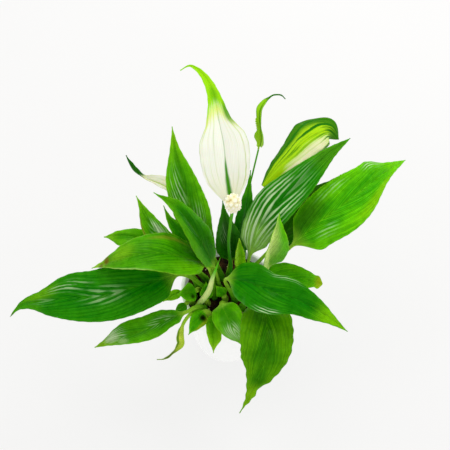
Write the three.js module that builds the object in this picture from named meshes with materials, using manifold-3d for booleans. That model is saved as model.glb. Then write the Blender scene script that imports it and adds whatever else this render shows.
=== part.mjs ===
import * as THREE from 'three';
import { mergeVertices } from 'three/addons/utils/BufferGeometryUtils.js';
import Module from 'manifold-3d';

// A potted peace lily: a plain white pot of soil, leaves on long stalks, and five flowers.
// Millimetres, +Z up. The origin is the centre of the pot's underside, and the front is -Y.

const wasm = await Module();
wasm.setup();

// The pot: a turned wall that widens upwards, with a rounded rim and a flat underside.
const POT_HEIGHT = 95;
const RIM_RADIUS = 43;
const FOOT_RADIUS = 33;
const POT_WALL = 3.6;
const POT_FLOOR = 6;
const FOOT_ROUND = 2.5;
const POT_SEGMENTS = 36;

// The soil fills the pot to 10 mm below its rim, and its top is uneven.
const SOIL_LEVEL = 85;
const SOIL_ROUGHNESS = 0.8;
const SOIL_RINGS = 5;
const SOIL_SEGMENTS = 28;
const GAP = 0.3;

// Every stem stands upright in a plain hole in the soil before it leans out.
const HOLE_DEPTH = 12;
const HOLE_GAP = 0.5;
const HOLE_SIDES = 8;
const STEM_FOOT = SOIL_LEVEL - HOLE_DEPTH + GAP;
const STEM_NECK = SOIL_LEVEL - 5;
const STEM_TOP = SOIL_LEVEL + 2;

// A blade is thin, a little thicker along its midrib, and ends in a drawn-out tip. Its two halves
// rise from the midrib and curl back at the edges.
const BLADE_THICKNESS = 0.8;
const KEEL = 0.5;
const BLEND = 0.14;
const TIP_HALF_WIDTH = 0.4;
const STALK_RADIUS = 1.7;
const STALK_TAPER = 0.3;
const RIPPLES = 2.2;
const FOLD = 0.28;
const ARCH = 0.2;

// Across a blade there are this many points on each face, and as many again underneath.
const ACROSS = 5;

// Half width along a blade, as [share of its length, share of its half width].
const LEAF_OUTLINE = [
  [0, 0.05], [0.06, 0.4], [0.17, 0.79], [0.34, 1], [0.52, 0.9], [0.7, 0.6], [0.86, 0.23], [1, 0],
];
const SPATHE_OUTLINE = [
  [0, 0.12], [0.07, 0.45], [0.17, 0.85], [0.3, 1], [0.41, 0.93], [0.51, 0.53], [0.64, 0.3], [0.8, 0.15],
  [1, 0],
];
const BUD_OUTLINE = [
  [0, 0.35], [0.1, 1], [0.19, 0.9], [0.3, 0.34], [0.41, 0.4], [0.52, 0.52], [0.62, 0.52], [0.73, 0.22],
  [0.83, 0.13], [0.93, 0.1], [1, 0],
];
const SLIM_OUTLINE = [
  [0, 0.5], [0.08, 0.95], [0.2, 1], [0.35, 0.7], [0.48, 0.4], [0.58, 0.26], [0.68, 0.36], [0.78, 0.38],
  [0.9, 0.2], [1, 0],
];
const CUP_OUTLINE = [
  [0, 0.1], [0.12, 0.38], [0.28, 0.66], [0.48, 0.92], [0.66, 1], [0.82, 0.78], [0.93, 0.35], [1, 0],
];

const GREEN = { dark: 0x1f5a0c, middle: 0x3a8a12, bright: 0x58b01a, lime: 0x86c21f, pale: 0xb9d56a };
const WHITE = { pot: 0xf4f4f2, spathe: 0xf3f6e6, cream: 0xe9e7b0 };
const SPADIX_CREAM = 0xf4ecc0;
const SOIL_BROWN = 0x3a2114;

// Leaves. foot: where the stalk stands in the soil. stalk, blade: points that the midrib passes
// through. width: across the blade. face: where the upper side looks. fold: how far the halves
// rise from the midrib. arch: how far the edges curl back. wave: ripple of the edges, in mm.
// fullness: under 1 is broader near both ends, over 1 is slimmer. radius: of the stalk.
// bumps: [side, where, spread, height] of a wider or narrower stretch of one edge.
const LEAVES = [
  {
    name: 'leaf_left_long', color: GREEN.dark, foot: [-19, -1], width: 45, face: [0, -0.35, 1],
    wave: 1.2, fullness: 0.75,
    blade: [
      [-41, -10, 136], [-69, -25, 147], [-106, -37, 149], [-146, -36, 140], [-177, -35, 126],
      [-187, -41, 117],
    ],
    bumps: [[1, 0.62, 0.1, 2.6], [1, 0.78, 0.11, -3.4], [1, 0.93, 0.05, -2], [-1, 0.84, 0.1, -2.6]],
  },
  {
    name: 'leaf_left_broad', color: GREEN.bright, foot: [-13, -5], width: 38, face: [0, 0, 1], wave: 1,
    blade: [
      [-18, -7, 145], [-36, -10, 165], [-56, -13, 178], [-76, -15, 178], [-94, -16, 171], [-114, -15, 156],
    ],
    bumps: [[1, 0.62, 0.12, 1.5]],
  },
  {
    name: 'leaf_left_upper', color: GREEN.middle, foot: [-8, 2], width: 28, face: [0.5, -0.1, 0.8],
    wave: 0.8,
    blade: [[-12, -5, 138], [-20, 2, 162], [-31, 10, 184], [-43, 19, 198], [-61, 28, 205]],
  },
  {
    name: 'leaf_left_behind', color: GREEN.middle, foot: [-14, 8], width: 17, face: [0, -0.4, 1],
    blade: [[-17, 4, 130], [-29, 7, 148], [-41, 16, 162], [-50, 25, 170], [-55, 35, 175]],
  },
  {
    name: 'leaf_left_small', color: GREEN.dark, foot: [-20, 11], width: 22, face: [-0.2, -0.6, 0.8],
    blade: [[-38, 9, 126], [-56, 16, 147], [-66, 25, 160], [-72, 34, 167], [-79, 47, 172]],
  },
  {
    name: 'leaf_left_low', color: GREEN.middle, foot: [-27, 4], width: 20, face: [0, -0.3, 1],
    blade: [[-43, 11, 125], [-68, 19, 140], [-84, 22, 146], [-96, 24, 144], [-109, 27, 137]],
    bumps: [[-1, 0.76, 0.14, 4.6], [1, 0.85, 0.08, 1.2]],
  },
  {
    name: 'leaf_back_tall', color: GREEN.middle, foot: [-6, 13], width: 32, face: [0, -0.8, 0.6], wave: 1,
    blade: [[-14, 14, 130], [-25, 23, 160], [-34, 36, 182], [-39, 48, 199], [-44, 64, 211], [-47, 84, 220]],
    bumps: [[-1, 0.66, 0.12, 2.6], [1, 0.2, 0.16, -4.2]],
  },
  {
    name: 'leaf_back_dark', color: GREEN.dark, foot: [1, 17], width: 25, face: [0, -0.8, 0.6],
    blade: [[2, 17, 110], [1, 16, 145], [-3, 21, 175], [-5, 30, 190]],
  },
  {
    name: 'leaf_back_slim', color: GREEN.dark, foot: [8, 15], width: 18, face: [0, -0.8, 0.6],
    blade: [[9, 18, 115], [13, 26, 150], [15, 32, 180], [17, 41, 197], [18, 48, 208]],
  },
  {
    name: 'leaf_right_striped', color: GREEN.middle, foot: [16, 5], width: 31, face: [-0.2, -0.6, 0.8],
    wave: 1, fullness: 0.85,
    blade: [[18, 7, 136], [25, 14, 170], [37, 22, 191], [57, 38, 203], [79, 61, 208], [103, 84, 204]],
    bumps: [[-1, 0.42, 0.12, 2.2], [-1, 0.75, 0.1, -1.2]],
  },
  {
    name: 'leaf_right_bright', color: GREEN.bright, foot: [24, 10], width: 46, face: [0, -0.5, 0.9],
    wave: 1, fullness: 0.95,
    blade: [[53, 9, 150], [72, 20, 166], [94, 33, 176], [119, 54, 177], [141, 76, 170], [158, 92, 162]],
    bumps: [[-1, 0.7, 0.07, 3.6], [1, 0.72, 0.14, -4], [1, 0.1, 0.09, 4]],
  },
  {
    name: 'leaf_right_shaded', color: GREEN.dark, foot: [18, 17], width: 35, face: [0, -0.3, 1],
    blade: [[38, 20, 130], [57, 36, 144], [79, 57, 154], [100, 79, 158]],
  },
  {
    name: 'leaf_right_folded', color: GREEN.middle, foot: [17, -4], width: 26, face: [0.6, -0.7, 0.4],
    fold: 0.8,
    blade: [[33, -11, 150], [35, -6, 170], [38, 0, 186], [41, 12, 199]],
  },
  {
    name: 'leaf_right_short', color: GREEN.bright, foot: [24, 1], width: 24, face: [0, -0.3, 1],
    fullness: 0.65,
    blade: [[31, 4, 100], [46, 4, 108], [62, 0, 111], [75, -1, 108], [84, -1, 102]],
    bumps: [[-1, 0.92, 0.06, 2.6], [1, 0.92, 0.06, 2.6]],
  },
  {
    name: 'leaf_right_front', color: GREEN.middle, foot: [6, -8], width: 39, face: [0, -0.5, 0.9],
    wave: 1.2,
    blade: [
      [-2, -19.5, 145.5], [15, -31, 161], [35, -44, 170], [53, -51, 170], [73, -58, 162], [96, -69, 148],
    ],
    bumps: [[-1, 0.39, 0.1, -5], [-1, 0.64, 0.18, -2.2], [1, 0.6, 0.12, -3]],
  },
  {
    name: 'leaf_front_broad', color: GREEN.middle, foot: [12, -17], width: 47, face: [0, -0.5, 0.9],
    wave: 1.5, fullness: 1.35,
    blade: [
      [25, -26, 128], [31, -56, 142], [31, -77, 140], [28, -93, 130], [20, -107, 118], [9, -121, 102],
    ],
    bumps: [[1, 0.33, 0.1, -1.8], [1, 0.6, 0.07, 2.2], [-1, 0.35, 0.15, -2.2], [-1, 0.7, 0.1, -3.4]],
  },
  {
    name: 'leaf_front_left', color: GREEN.middle, foot: [-22, -18], width: 21, face: [0, -0.3, 1],
    fullness: 0.85,
    stalk: [[-28, -25, 104]],
    blade: [[-37, -34, 112], [-54, -47, 123], [-69, -57, 127], [-91, -63, 123], [-113, -67, 112]],
    bumps: [[1, 0.67, 0.18, 3.6], [1, 0.15, 0.1, -1.6], [-1, 0.22, 0.12, -2]],
  },
  {
    name: 'leaf_front_small_right', color: GREEN.middle, foot: [-1, -16], width: 26, face: [0, -0.5, 0.9],
    blade: [[-6, -22, 105], [-2, -36, 112], [4, -48, 110], [10, -55, 105], [15, -61, 97]],
  },
  {
    name: 'leaf_front_small_left', color: GREEN.middle, foot: [-8, -21], width: 15, face: [0, -0.5, 0.9],
    blade: [[-11, -26, 93], [-12, -38, 98], [-13, -53, 96], [-13, -61, 87]],
    bumps: [[-1, 0.7, 0.12, 2]],
  },
  {
    name: 'leaf_crown_a', color: GREEN.lime, foot: [-31, -5], width: 9, face: [0, -0.5, 0.9],
    stalk: [[-34, -6, 98]],
    blade: [[-41, -9, 102], [-49, -13, 103], [-58, -17, 99]],
  },
  {
    name: 'leaf_crown_b', color: GREEN.dark, foot: [-27, 0], width: 17, face: [0, -0.5, 0.9],
    blade: [[-29, -8, 103], [-37, -14, 109], [-45, -15, 109]],
  },
  {
    name: 'leaf_crown_c', color: GREEN.middle, foot: [-19, -12], width: 12, face: [0, -0.5, 0.9],
    blade: [[-20, -12, 93], [-19.5, -7, 100], [-20, -1, 106]],
  },
  {
    name: 'leaf_crown_d', color: GREEN.middle, foot: [-33, -11], width: 9, face: [0, -0.5, 0.9],
    stalk: [[-35, -15, 98]],
    blade: [[-37.5, -20, 101], [-42, -25, 101], [-48, -27, 97]],
  },
  {
    name: 'leaf_crown_e', color: GREEN.middle, foot: [-15, -26], width: 15, face: [0, -0.5, 0.9],
    blade: [[-21, -26, 97], [-27, -37, 101], [-35, -47, 94]],
  },
  {
    name: 'leaf_crown_f', color: GREEN.middle, foot: [-3, -8], width: 11, face: [0, -0.5, 0.9],
    blade: [[-4, -9, 95], [-7, -8, 102], [-11, -6, 108]],
  },
  {
    name: 'leaf_young_cup', color: GREEN.lime, foot: [10, 4], width: 9.5, face: [0, -0.9, 0.3],
    fold: 1, arch: 0.2, fullness: 0.7,
    blade: [[10, 5, 122], [10, 6, 143], [9, 9, 164]],
  },
  {
    name: 'leaf_withered', color: GREEN.pale, foot: [-27, -22], width: 7, face: [0, -0.5, 0.9], radius: 1.3,
    stalk: [[-32, -29, 101]],
    blade: [
      [-39, -40, 103], [-42, -49, 96], [-42, -54, 90], [-49, -60, 84], [-56, -63, 79], [-63, -63, 77],
    ],
    bumps: [[-1, 0.62, 0.14, -1.5], [1, 0.62, 0.14, -1.5]],
  },
];

// A blade shorter than this has fewer steps along it.
const SHORT_BLADE = 62;

// A young leaf still rolled up: a pale shoot, thickest in its middle.
const SHOOT = {
  name: 'shoot_rolled', color: GREEN.pale, foot: [-28, -16], radius: 2.7,
  path: [[-23, -16, 100], [-17, -15, 116], [-13.5, -11.5, 133], [-7, -2, 151]],
};

// Flowers. stem: from the soil to its top. spathe: the midrib of its one large petal.
// spadix: the line of its flower spike, from the stem's top.
const FLOWERS = [
  {
    name: 'flower_main', foot: [2, 7], stemRadius: 1.4, stemColor: GREEN.bright,
    stem: [[2, 7, 120], [0, 5, 160], [1, -2, 200], [3, -10, 242]],
    spathe: [
      [2, -7, 239], [-2, 9.5, 261], [-4, 24, 275], [-8, 40, 286], [-10, 51, 290], [-14, 63, 294],
      [-21, 75, 296], [-30, 83, 295], [-37, 81, 292],
    ],
    outline: SPATHE_OUTLINE, width: 37, face: [0, -0.53, 0.85], fold: 0.35, arch: 0.15,
    spatheColor: WHITE.spathe,
    spadix: [[3.1, -10.3, 242.8], [3, -13.5, 252], [2.5, -17.5, 263]],
    spadixRadius: 5, spadixSides: 14, spadixSteps: 15,
  },
  {
    name: 'flower_green', foot: [7, 22], stemRadius: 0.8, stemColor: GREEN.bright,
    stem: [[9, 30, 130], [17, 52, 170], [25, 72, 204]],
    spathe: [
      [27, 75, 205], [27.5, 77, 212], [27, 79, 219], [26, 81, 226], [25.5, 85, 231], [26, 89, 235],
      [28.5, 94, 237], [33, 99, 238], [38, 103, 238], [44, 103, 237], [47, 101, 235],
    ],
    outline: BUD_OUTLINE, width: 11.5, face: [-0.6, -0.3, 0.7], fold: 0.5, arch: 0,
    spatheColor: GREEN.lime,
    spadix: [[25.1, 73.4, 203.2], [26, 82, 204.5], [25.5, 87, 213], [23.5, 90.5, 224]],
    spadixRadius: 1.9, spadixSides: 8, spadixSteps: 11,
  },
  {
    name: 'flower_slim', foot: [-13, 18], stemRadius: 1.2, stemColor: GREEN.bright,
    stem: [[-19, 27, 120], [-36, 44, 145], [-48, 56, 165]],
    spathe: [
      [-50, 57.5, 165], [-57, 58, 172], [-65, 57.5, 179], [-73, 57, 186.5], [-81, 60.5, 194.5],
      [-86, 67, 203],
    ],
    outline: SLIM_OUTLINE, width: 15, face: [0.5, 0.1, 0.8], fold: 0.5, arch: 0,
    spatheColor: WHITE.cream,
    spadix: [[-48.2, 56.3, 165.7], [-47, 58, 178], [-47, 60, 190]],
    spadixRadius: 2.2, spadixSides: 8, spadixSteps: 11,
  },
  {
    name: 'flower_striped', foot: [14, 24], stemRadius: 1.3, stemColor: GREEN.bright,
    stem: [[16, 30, 130], [22, 39, 160], [29, 48, 174]],
    spathe: [[29, 53, 178], [42, 66, 187], [59, 81, 193], [74, 94, 195], [87, 103, 190], [97, 102, 179]],
    outline: CUP_OUTLINE, width: 29, face: [-0.2, -0.3, 0.9], fold: 0.1, arch: 0.35, wave: 1.2,
    bumps: [[-1, 0.71, 0.22, 5.6]],
    spatheColor: WHITE.cream,
    spadix: [[29.8, 48.8, 174.3], [42, 60, 177], [53, 71, 177]],
    spadixRadius: 2.6, spadixSides: 8, spadixSteps: 11,
  },
];
const STEM_STEPS = 10;
const STEM_SIDES = 8;
const SPATHE_STEPS = 18;

// A spadix is covered with florets, in rows that are set half a floret apart.
const FLORET_HEIGHT = 0.8;
const SPADIX_NECK = 0.4;
const SPADIX_NECK_LENGTH = 0.14;
const SPADIX_ROUND_END = 0.78;

/** A smooth curve through points. */
function curveThrough(points) {
  return new THREE.CatmullRomCurve3(points.map((point) => new THREE.Vector3(...point)));
}

/** The points of a stem's upright foot in the soil. */
function footPoints([x, y]) {
  return [STEM_FOOT, STEM_NECK, STEM_TOP].map((z) => [x, y, z]);
}

/** The share of a curve's length at its control point of the given index. */
function lengthShare(curve, index) {
  const samples = 20;
  const lengths = curve.getLengths((curve.points.length - 1) * samples);
  return lengths[index * samples] / lengths.at(-1);
}

/** A mesh geometry from rings of points, all with the same count, with flat ends. */
function loft(rings, splitOther) {
  const count = rings[0].length;
  const index = [];
  for (let i = 0; i + 1 < rings.length; i += 1) {
    for (let j = 0; j < count; j += 1) {
      const a = i * count + j;
      const b = i * count + ((j + 1) % count);
      const c = a + count;
      const d = b + count;
      if (splitOther(j)) {
        index.push(a, b, d, a, d, c);
      } else {
        index.push(a, b, c, b, d, c);
      }
    }
  }
  const last = (rings.length - 1) * count;
  for (let j = 1; j + 1 < count; j += 1) {
    index.push(0, j + 1, j);
    index.push(last, last + j, last + j + 1);
  }
  const geometry = new THREE.BufferGeometry();
  const flat = rings.flat().flatMap((point) => [point.x, point.y, point.z]);
  geometry.setAttribute('position', new THREE.Float32BufferAttribute(flat, 3));
  geometry.setIndex(index);
  return geometry;
}

/**
 * A blade on its stalk, as one closed body. At every step the section turns from a round stalk
 * (radius r) into a thin strip: side = v * w, rise = w * (fold * |v| - arch * v^2) + ripple,
 * where w is the half width there and v runs from -1 to 1 across the blade. A bump adds
 * height * exp(-((share - where) / spread)^2) to w on its side.
 */
function bladeGeometry(curve, outline, options) {
  const {
    width, face, fold = FOLD, arch = ARCH, wave = 0, fullness = 1, radius = STALK_RADIUS, bumps = [],
    footEnd = 0, bladeStart = 0, stalkSteps = 0, bladeSteps,
  } = options;
  const up = new THREE.Vector3(...face);
  const profile = new THREE.SplineCurve(outline.map((point) => new THREE.Vector2(...point)));
  const steps = stalkSteps > 0 ? [{ at: 0, share: 0, half: 0 }] : [];
  for (let i = 0; i < stalkSteps; i += 1) {
    steps.push({ at: THREE.MathUtils.lerp(footEnd, bladeStart, i / stalkSteps), share: 0, half: 0 });
  }
  for (let i = 0; i <= bladeSteps; i += 1) {
    const { x: share, y } = profile.getPoint(i / bladeSteps);
    const half = (Math.max(y, 0) ** fullness * width) / 2;
    steps.push({ at: bladeStart + (1 - bladeStart) * share, share, half });
  }
  const rings = steps.map(({ at, share, half }) => {
    const centre = curve.getPointAt(at);
    const along = curve.getTangentAt(at);
    const side = new THREE.Vector3().crossVectors(along, up).normalize();
    const rise = new THREE.Vector3().crossVectors(side, along);
    const flatness = bladeStart > 0 ? THREE.MathUtils.smoothstep(share, 0, BLEND) : 1;
    const stalk = radius * (1 - STALK_TAPER * at);
    const ring = [];
    for (let k = 0; k < 2 * ACROSS; k += 1) {
      const under = k >= ACROSS;
      const v = under ? 1 - (2 * (k - ACROSS)) / (ACROSS - 1) : -1 + (2 * k) / (ACROSS - 1);
      const bulge = bumps.filter(([edge]) => edge * v > 0 && share > 0).reduce(
        (sum, [, where, spread, height]) => sum + height * Math.exp(-(((share - where) / spread) ** 2)), 0,
      );
      const w = Math.max(half + bulge, TIP_HALF_WIDTH);
      const swing = Math.sin(2 * Math.PI * RIPPLES * share) * Math.sin(Math.PI * share);
      const ripple = wave * v * Math.abs(v) * swing;
      const keel = under && v === 0 ? KEEL * (1 - share) : 0;
      const skin = under ? -BLADE_THICKNESS / 2 - keel : BLADE_THICKNESS / 2;
      const lift = w * (fold * Math.abs(v) - arch * v * v) + ripple + skin;
      const turn = THREE.MathUtils.degToRad(-90 + 180 / (2 * ACROSS) + (k * 180) / ACROSS);
      const across = THREE.MathUtils.lerp(stalk * Math.sin(turn), v * w, flatness);
      const above = THREE.MathUtils.lerp(stalk * Math.cos(turn), lift, flatness);
      ring.push(centre.clone().addScaledVector(side, across).addScaledVector(rise, above));
    }
    return ring;
  });
  return loft(rings, (j) => j >= ACROSS);
}

function leafGeometry(leaf) {
  const { foot, stalk = [], blade } = leaf;
  const upright = footPoints(foot);
  const before = [...upright, ...stalk];
  const curve = curveThrough([...before, ...blade]);
  const footEnd = lengthShare(curve, upright.length - 1);
  const bladeStart = lengthShare(curve, before.length);
  const small = curve.getLength() * (1 - bladeStart) < SHORT_BLADE;
  const steps = small ? { stalkSteps: 3, bladeSteps: 8 } : { stalkSteps: 5, bladeSteps: 12 };
  return bladeGeometry(curve, LEAF_OUTLINE, { footEnd, bladeStart, ...steps, ...leaf });
}

/** A round closed body along a curve: its radius is given at each share of its length. */
function roundGeometry(curve, sides, steps, radiusAt) {
  const { normals, binormals } = curve.computeFrenetFrames(steps);
  const rings = [];
  for (let i = 0; i <= steps; i += 1) {
    const centre = curve.getPointAt(i / steps);
    const ring = [];
    for (let k = 0; k < sides; k += 1) {
      const turn = (2 * Math.PI * k) / sides;
      const radius = radiusAt(i / steps, i, k);
      ring.push(centre.clone()
        .addScaledVector(normals[i], radius * Math.cos(turn))
        .addScaledVector(binormals[i], radius * Math.sin(turn)));
    }
    rings.push(ring);
  }
  return loft(rings, () => false);
}

/** A rolled leaf: radius = r * (0.35 + 0.65 * sin(pi * share ^ 0.8)) * (1 - share ^ 6). */
function shootGeometry({ foot, path, radius }) {
  const curve = curveThrough([...footPoints(foot), ...path]);
  return roundGeometry(curve, STEM_SIDES, STEM_STEPS, (share) => {
    const swell = 0.35 + 0.65 * Math.sin(Math.PI * share ** 0.8);
    return Math.max(radius * swell * (1 - share ** 6), TIP_HALF_WIDTH);
  });
}

function stemGeometry(points, radius) {
  const section = new THREE.Shape().absarc(0, 0, radius, 0, 2 * Math.PI);
  return new THREE.ExtrudeGeometry(section, {
    steps: STEM_STEPS, curveSegments: STEM_SIDES / 2, bevelEnabled: false, extrudePath: curveThrough(points),
  });
}

/** A spadix: a neck, a cylinder and a half-round end, with every other grid point raised. */
function spadixGeometry({ spadix, spadixRadius, spadixSides, spadixSteps }) {
  return roundGeometry(curveThrough(spadix), spadixSides, spadixSteps, (share, i, k) => {
    const neck = THREE.MathUtils.smoothstep(share, SPADIX_NECK_LENGTH / 2, SPADIX_NECK_LENGTH);
    const past = Math.max(0, (share - SPADIX_ROUND_END) / (1 - SPADIX_ROUND_END));
    const body = spadixRadius * Math.sqrt(Math.max(1 - past * past, 0.01));
    const floret = (i + k) % 2 === 0 && share < 1 ? FLORET_HEIGHT * neck : 0;
    return THREE.MathUtils.lerp(spadixRadius * SPADIX_NECK, body - FLORET_HEIGHT / 2, neck) + floret;
  });
}

function potGeometry() {
  const lip = POT_WALL / 2;
  const innerFoot = FOOT_RADIUS - POT_WALL;
  const inset = FOOT_ROUND * (1 - Math.SQRT1_2);
  const profile = [
    [0, 0], [FOOT_RADIUS - FOOT_ROUND, 0], [FOOT_RADIUS - inset, inset], [FOOT_RADIUS, FOOT_ROUND],
  ];
  for (let i = 0; i <= 4; i += 1) {
    const turn = (Math.PI * i) / 4;
    profile.push([RIM_RADIUS - lip + lip * Math.cos(turn), POT_HEIGHT - lip + lip * Math.sin(turn)]);
  }
  profile.push([innerFoot, POT_FLOOR], [0, POT_FLOOR]);
  return new THREE.LatheGeometry(profile.map((point) => new THREE.Vector2(...point)), POT_SEGMENTS)
    .rotateX(Math.PI / 2);
}

/** A closed solid from a geometry, with its shared corners merged. */
function solidFrom(geometry) {
  const plain = geometry.clone();
  plain.deleteAttribute('normal');
  plain.deleteAttribute('uv');
  const merged = mergeVertices(plain, 1e-4);
  const triVerts = [];
  const corners = merged.index.array;
  for (let i = 0; i < corners.length; i += 3) {
    const [a, b, c] = corners.slice(i, i + 3);
    if (a !== b && b !== c && a !== c) {
      triVerts.push(a, b, c);
    }
  }
  return new wasm.Manifold(new wasm.Mesh({
    numProp: 3,
    vertProperties: new Float32Array(merged.attributes.position.array),
    triVerts: new Uint32Array(triVerts),
  }));
}

function geometryFrom(solid) {
  const { vertProperties, triVerts } = solid.getMesh();
  const geometry = new THREE.BufferGeometry();
  geometry.setAttribute('position', new THREE.Float32BufferAttribute(vertProperties, 3));
  geometry.setIndex(Array.from(triVerts));
  return geometry;
}

/** The pot's inner radius at a height: the wall's slope runs straight from foot to lip. */
function innerRadius(z) {
  const slope = (RIM_RADIUS - FOOT_RADIUS) / (POT_HEIGHT - POT_WALL / 2 - POT_FLOOR);
  return FOOT_RADIUS - POT_WALL + slope * (z - POT_FLOOR);
}

/** Soil with an uneven top: rise = roughness * (sin(x / 5) * cos(y / 4) + sin((x + y) / 7)) / 2. */
function soilGeometry(holes) {
  const bottom = POT_FLOOR + GAP;
  const edge = innerRadius(SOIL_LEVEL) - 2 * GAP;
  const profile = [[0, bottom], [innerRadius(bottom) - 2 * GAP, bottom]];
  for (let i = SOIL_RINGS; i >= 0; i -= 1) {
    profile.push([(edge * i) / SOIL_RINGS, SOIL_LEVEL]);
  }
  const geometry = new THREE.LatheGeometry(profile.map((point) => new THREE.Vector2(...point)), SOIL_SEGMENTS)
    .rotateX(Math.PI / 2);
  const places = geometry.attributes.position;
  for (let i = 0; i < places.count; i += 1) {
    const x = places.getX(i);
    const y = places.getY(i);
    if (places.getZ(i) > SOIL_LEVEL - 1 && Math.hypot(x, y) < edge - 1) {
      const rise = (Math.sin(x / 5) * Math.cos(y / 4) + Math.sin((x + y) / 7)) / 2;
      places.setZ(i, SOIL_LEVEL + SOIL_ROUGHNESS * rise);
    }
  }
  const depth = HOLE_DEPTH + 3;
  return geometryFrom(holes.reduce((soil, { foot: [x, y], radius }) => {
    const hole = new THREE.CylinderGeometry(radius + HOLE_GAP, radius + HOLE_GAP, depth, HOLE_SIDES)
      .rotateX(Math.PI / 2)
      .translate(x, y, SOIL_LEVEL - HOLE_DEPTH + depth / 2);
    return soil.subtract(solidFrom(hole));
  }, solidFrom(geometry)));
}

const lily = new THREE.Group();

function addPiece(name, geometry, color, roughness) {
  geometry.computeVertexNormals();
  const material = new THREE.MeshStandardMaterial({ color, roughness, metalness: 0 });
  const mesh = new THREE.Mesh(geometry, material);
  mesh.name = name;
  lily.add(mesh);
}

const holes = [
  ...LEAVES.map(({ foot }) => ({ foot, radius: STALK_RADIUS })),
  ...FLOWERS.map(({ foot, stemRadius }) => ({ foot, radius: stemRadius })),
  { foot: SHOOT.foot, radius: SHOOT.radius },
];
addPiece('pot', potGeometry(), WHITE.pot, 0.2);
addPiece('soil', soilGeometry(holes), SOIL_BROWN, 0.95);
for (const leaf of LEAVES) {
  addPiece(leaf.name, leafGeometry(leaf), leaf.color, 0.35);
}
addPiece(SHOOT.name, shootGeometry(SHOOT), SHOOT.color, 0.45);
for (const flower of FLOWERS) {
  const { name, foot, stem, stemRadius, spathe, outline } = flower;
  addPiece(`${name}_stem`, stemGeometry([...footPoints(foot), ...stem], stemRadius), flower.stemColor, 0.45);
  const petal = bladeGeometry(curveThrough(spathe), outline, { ...flower, bladeSteps: SPATHE_STEPS });
  addPiece(`${name}_spathe`, petal, flower.spatheColor, 0.45);
  addPiece(`${name}_spadix`, spadixGeometry(flower), SPADIX_CREAM, 0.7);
}

export default lily;
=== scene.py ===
import functools
import bpy
import numpy as np
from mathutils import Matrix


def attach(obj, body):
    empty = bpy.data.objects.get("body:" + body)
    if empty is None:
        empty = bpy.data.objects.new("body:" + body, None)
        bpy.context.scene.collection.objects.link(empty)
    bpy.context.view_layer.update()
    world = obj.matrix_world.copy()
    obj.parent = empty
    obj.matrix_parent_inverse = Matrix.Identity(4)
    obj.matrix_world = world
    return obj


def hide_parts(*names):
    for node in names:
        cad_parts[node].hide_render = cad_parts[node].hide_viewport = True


# A potted peace lily on a white table. Lengths below are in millimetres until they reach a mesh.
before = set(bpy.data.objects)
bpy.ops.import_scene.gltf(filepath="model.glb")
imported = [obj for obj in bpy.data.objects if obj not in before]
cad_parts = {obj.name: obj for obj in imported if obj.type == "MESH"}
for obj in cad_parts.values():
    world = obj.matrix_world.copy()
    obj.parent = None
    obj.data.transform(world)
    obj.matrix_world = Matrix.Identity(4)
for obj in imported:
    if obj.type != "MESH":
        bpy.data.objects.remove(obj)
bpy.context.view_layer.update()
mm = 0.001
print("stage: frame loaded,", len(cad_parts), "nodes")

# Every stem starts just above the bottom of its hole and stands upright to 2 mm above the soil.
soilTop = 85
holeDepth = 12
footHeights = [soilTop - holeDepth + 0.3, soilTop - 5, soilTop + 2]


# Turns an sRGB hex colour into linear numbers: each channel is lifted by the sRGB curve.
def linear(hexColour):
    channels = np.array([int(hexColour[i:i + 2], 16) for i in (1, 3, 5)]) / 255
    return np.where(channels <= 0.04045, channels / 12.92, ((channels + 0.055) / 1.055) ** 2.4)


# The same as a colour socket takes it: four numbers, the last of them 1.
def opaque(hexColour):
    return (*linear(hexColour), 1)


# Rises smoothly from 0 at low to 1 at high: t * t * (3 - 2 t).
def smooth(low, high, x):
    t = np.clip((x - low) / (high - low), 0, 1)
    return t * t * (3 - 2 * t)


# Goes from colour a to colour b by the share t, point by point: a + (b - a) * t.
def mix(a, b, t):
    return a + (b - a) * np.asarray(t)[..., None]


# Goes from a to b by t in the same way, for plain numbers.
def mixNumbers(a, b, t):
    return a + (b - a) * t


# A soft round spot: exp(-d ^ 4), with d ^ 2 = ((x - x0) / xSize) ^ 2 + ((y - y0) / ySize) ^ 2.
def spot(x, y, x0, y0, xSize, ySize):
    return np.exp(-(((x - x0) / xSize) ** 2 + ((y - y0) / ySize) ** 2) ** 2)


# Soft blotches between -1 and 1: five slanted sine waves of random direction and phase are added.
def blotches(x, y, size, seed):
    rng = np.random.default_rng(seed)
    turns, starts = rng.uniform(0, 2 * np.pi, (2, 5))
    waves = [np.sin((x * np.cos(t) + y * np.sin(t)) * 2 * np.pi / (size * (0.7 + 0.15 * k)) + s)
             for k, (t, s) in enumerate(zip(turns, starts))]
    return sum(waves) / 3


# A smooth curve through points: each stretch blends the lines through its neighbours, with knots
# spaced by the square root of the distances. Gives its places, their distances along it, and the
# shares of its length at which it meets the points.
def curveThrough(points, steps=40):
    p = np.array(points, float)
    p = np.vstack([2 * p[0] - p[1], p, 2 * p[-1] - p[-2]])
    t = np.linspace(0, 1, steps + 1)[None, :, None]
    p0, p1, p2, p3 = [p[i:len(p) - 3 + i][:, None, :] for i in range(4)]
    k1, k2, k3 = [np.sqrt(np.linalg.norm(b - a, axis=2, keepdims=True))
                  for a, b in ((p0, p1), (p1, p2), (p2, p3))]
    m1 = ((p1 - p0) / k1 - (p2 - p0) / (k1 + k2) + (p2 - p1) / k2) * k2
    m2 = ((p2 - p1) / k2 - (p3 - p1) / (k2 + k3) + (p3 - p2) / k3) * k2
    c2 = 3 * (p2 - p1) - 2 * m1 - m2
    c3 = 2 * (p1 - p2) + m1 + m2
    stretch = (p1 + m1 * t + c2 * t ** 2 + c3 * t ** 3)[:, :-1].reshape(-1, 3)
    places = np.vstack([stretch, p[-2]])
    lengths = np.concatenate([[0], np.cumsum(np.linalg.norm(np.diff(places, axis=0), axis=1))])
    return dict(places=places, lengths=lengths, knots=lengths[::steps] / lengths[-1])


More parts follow.
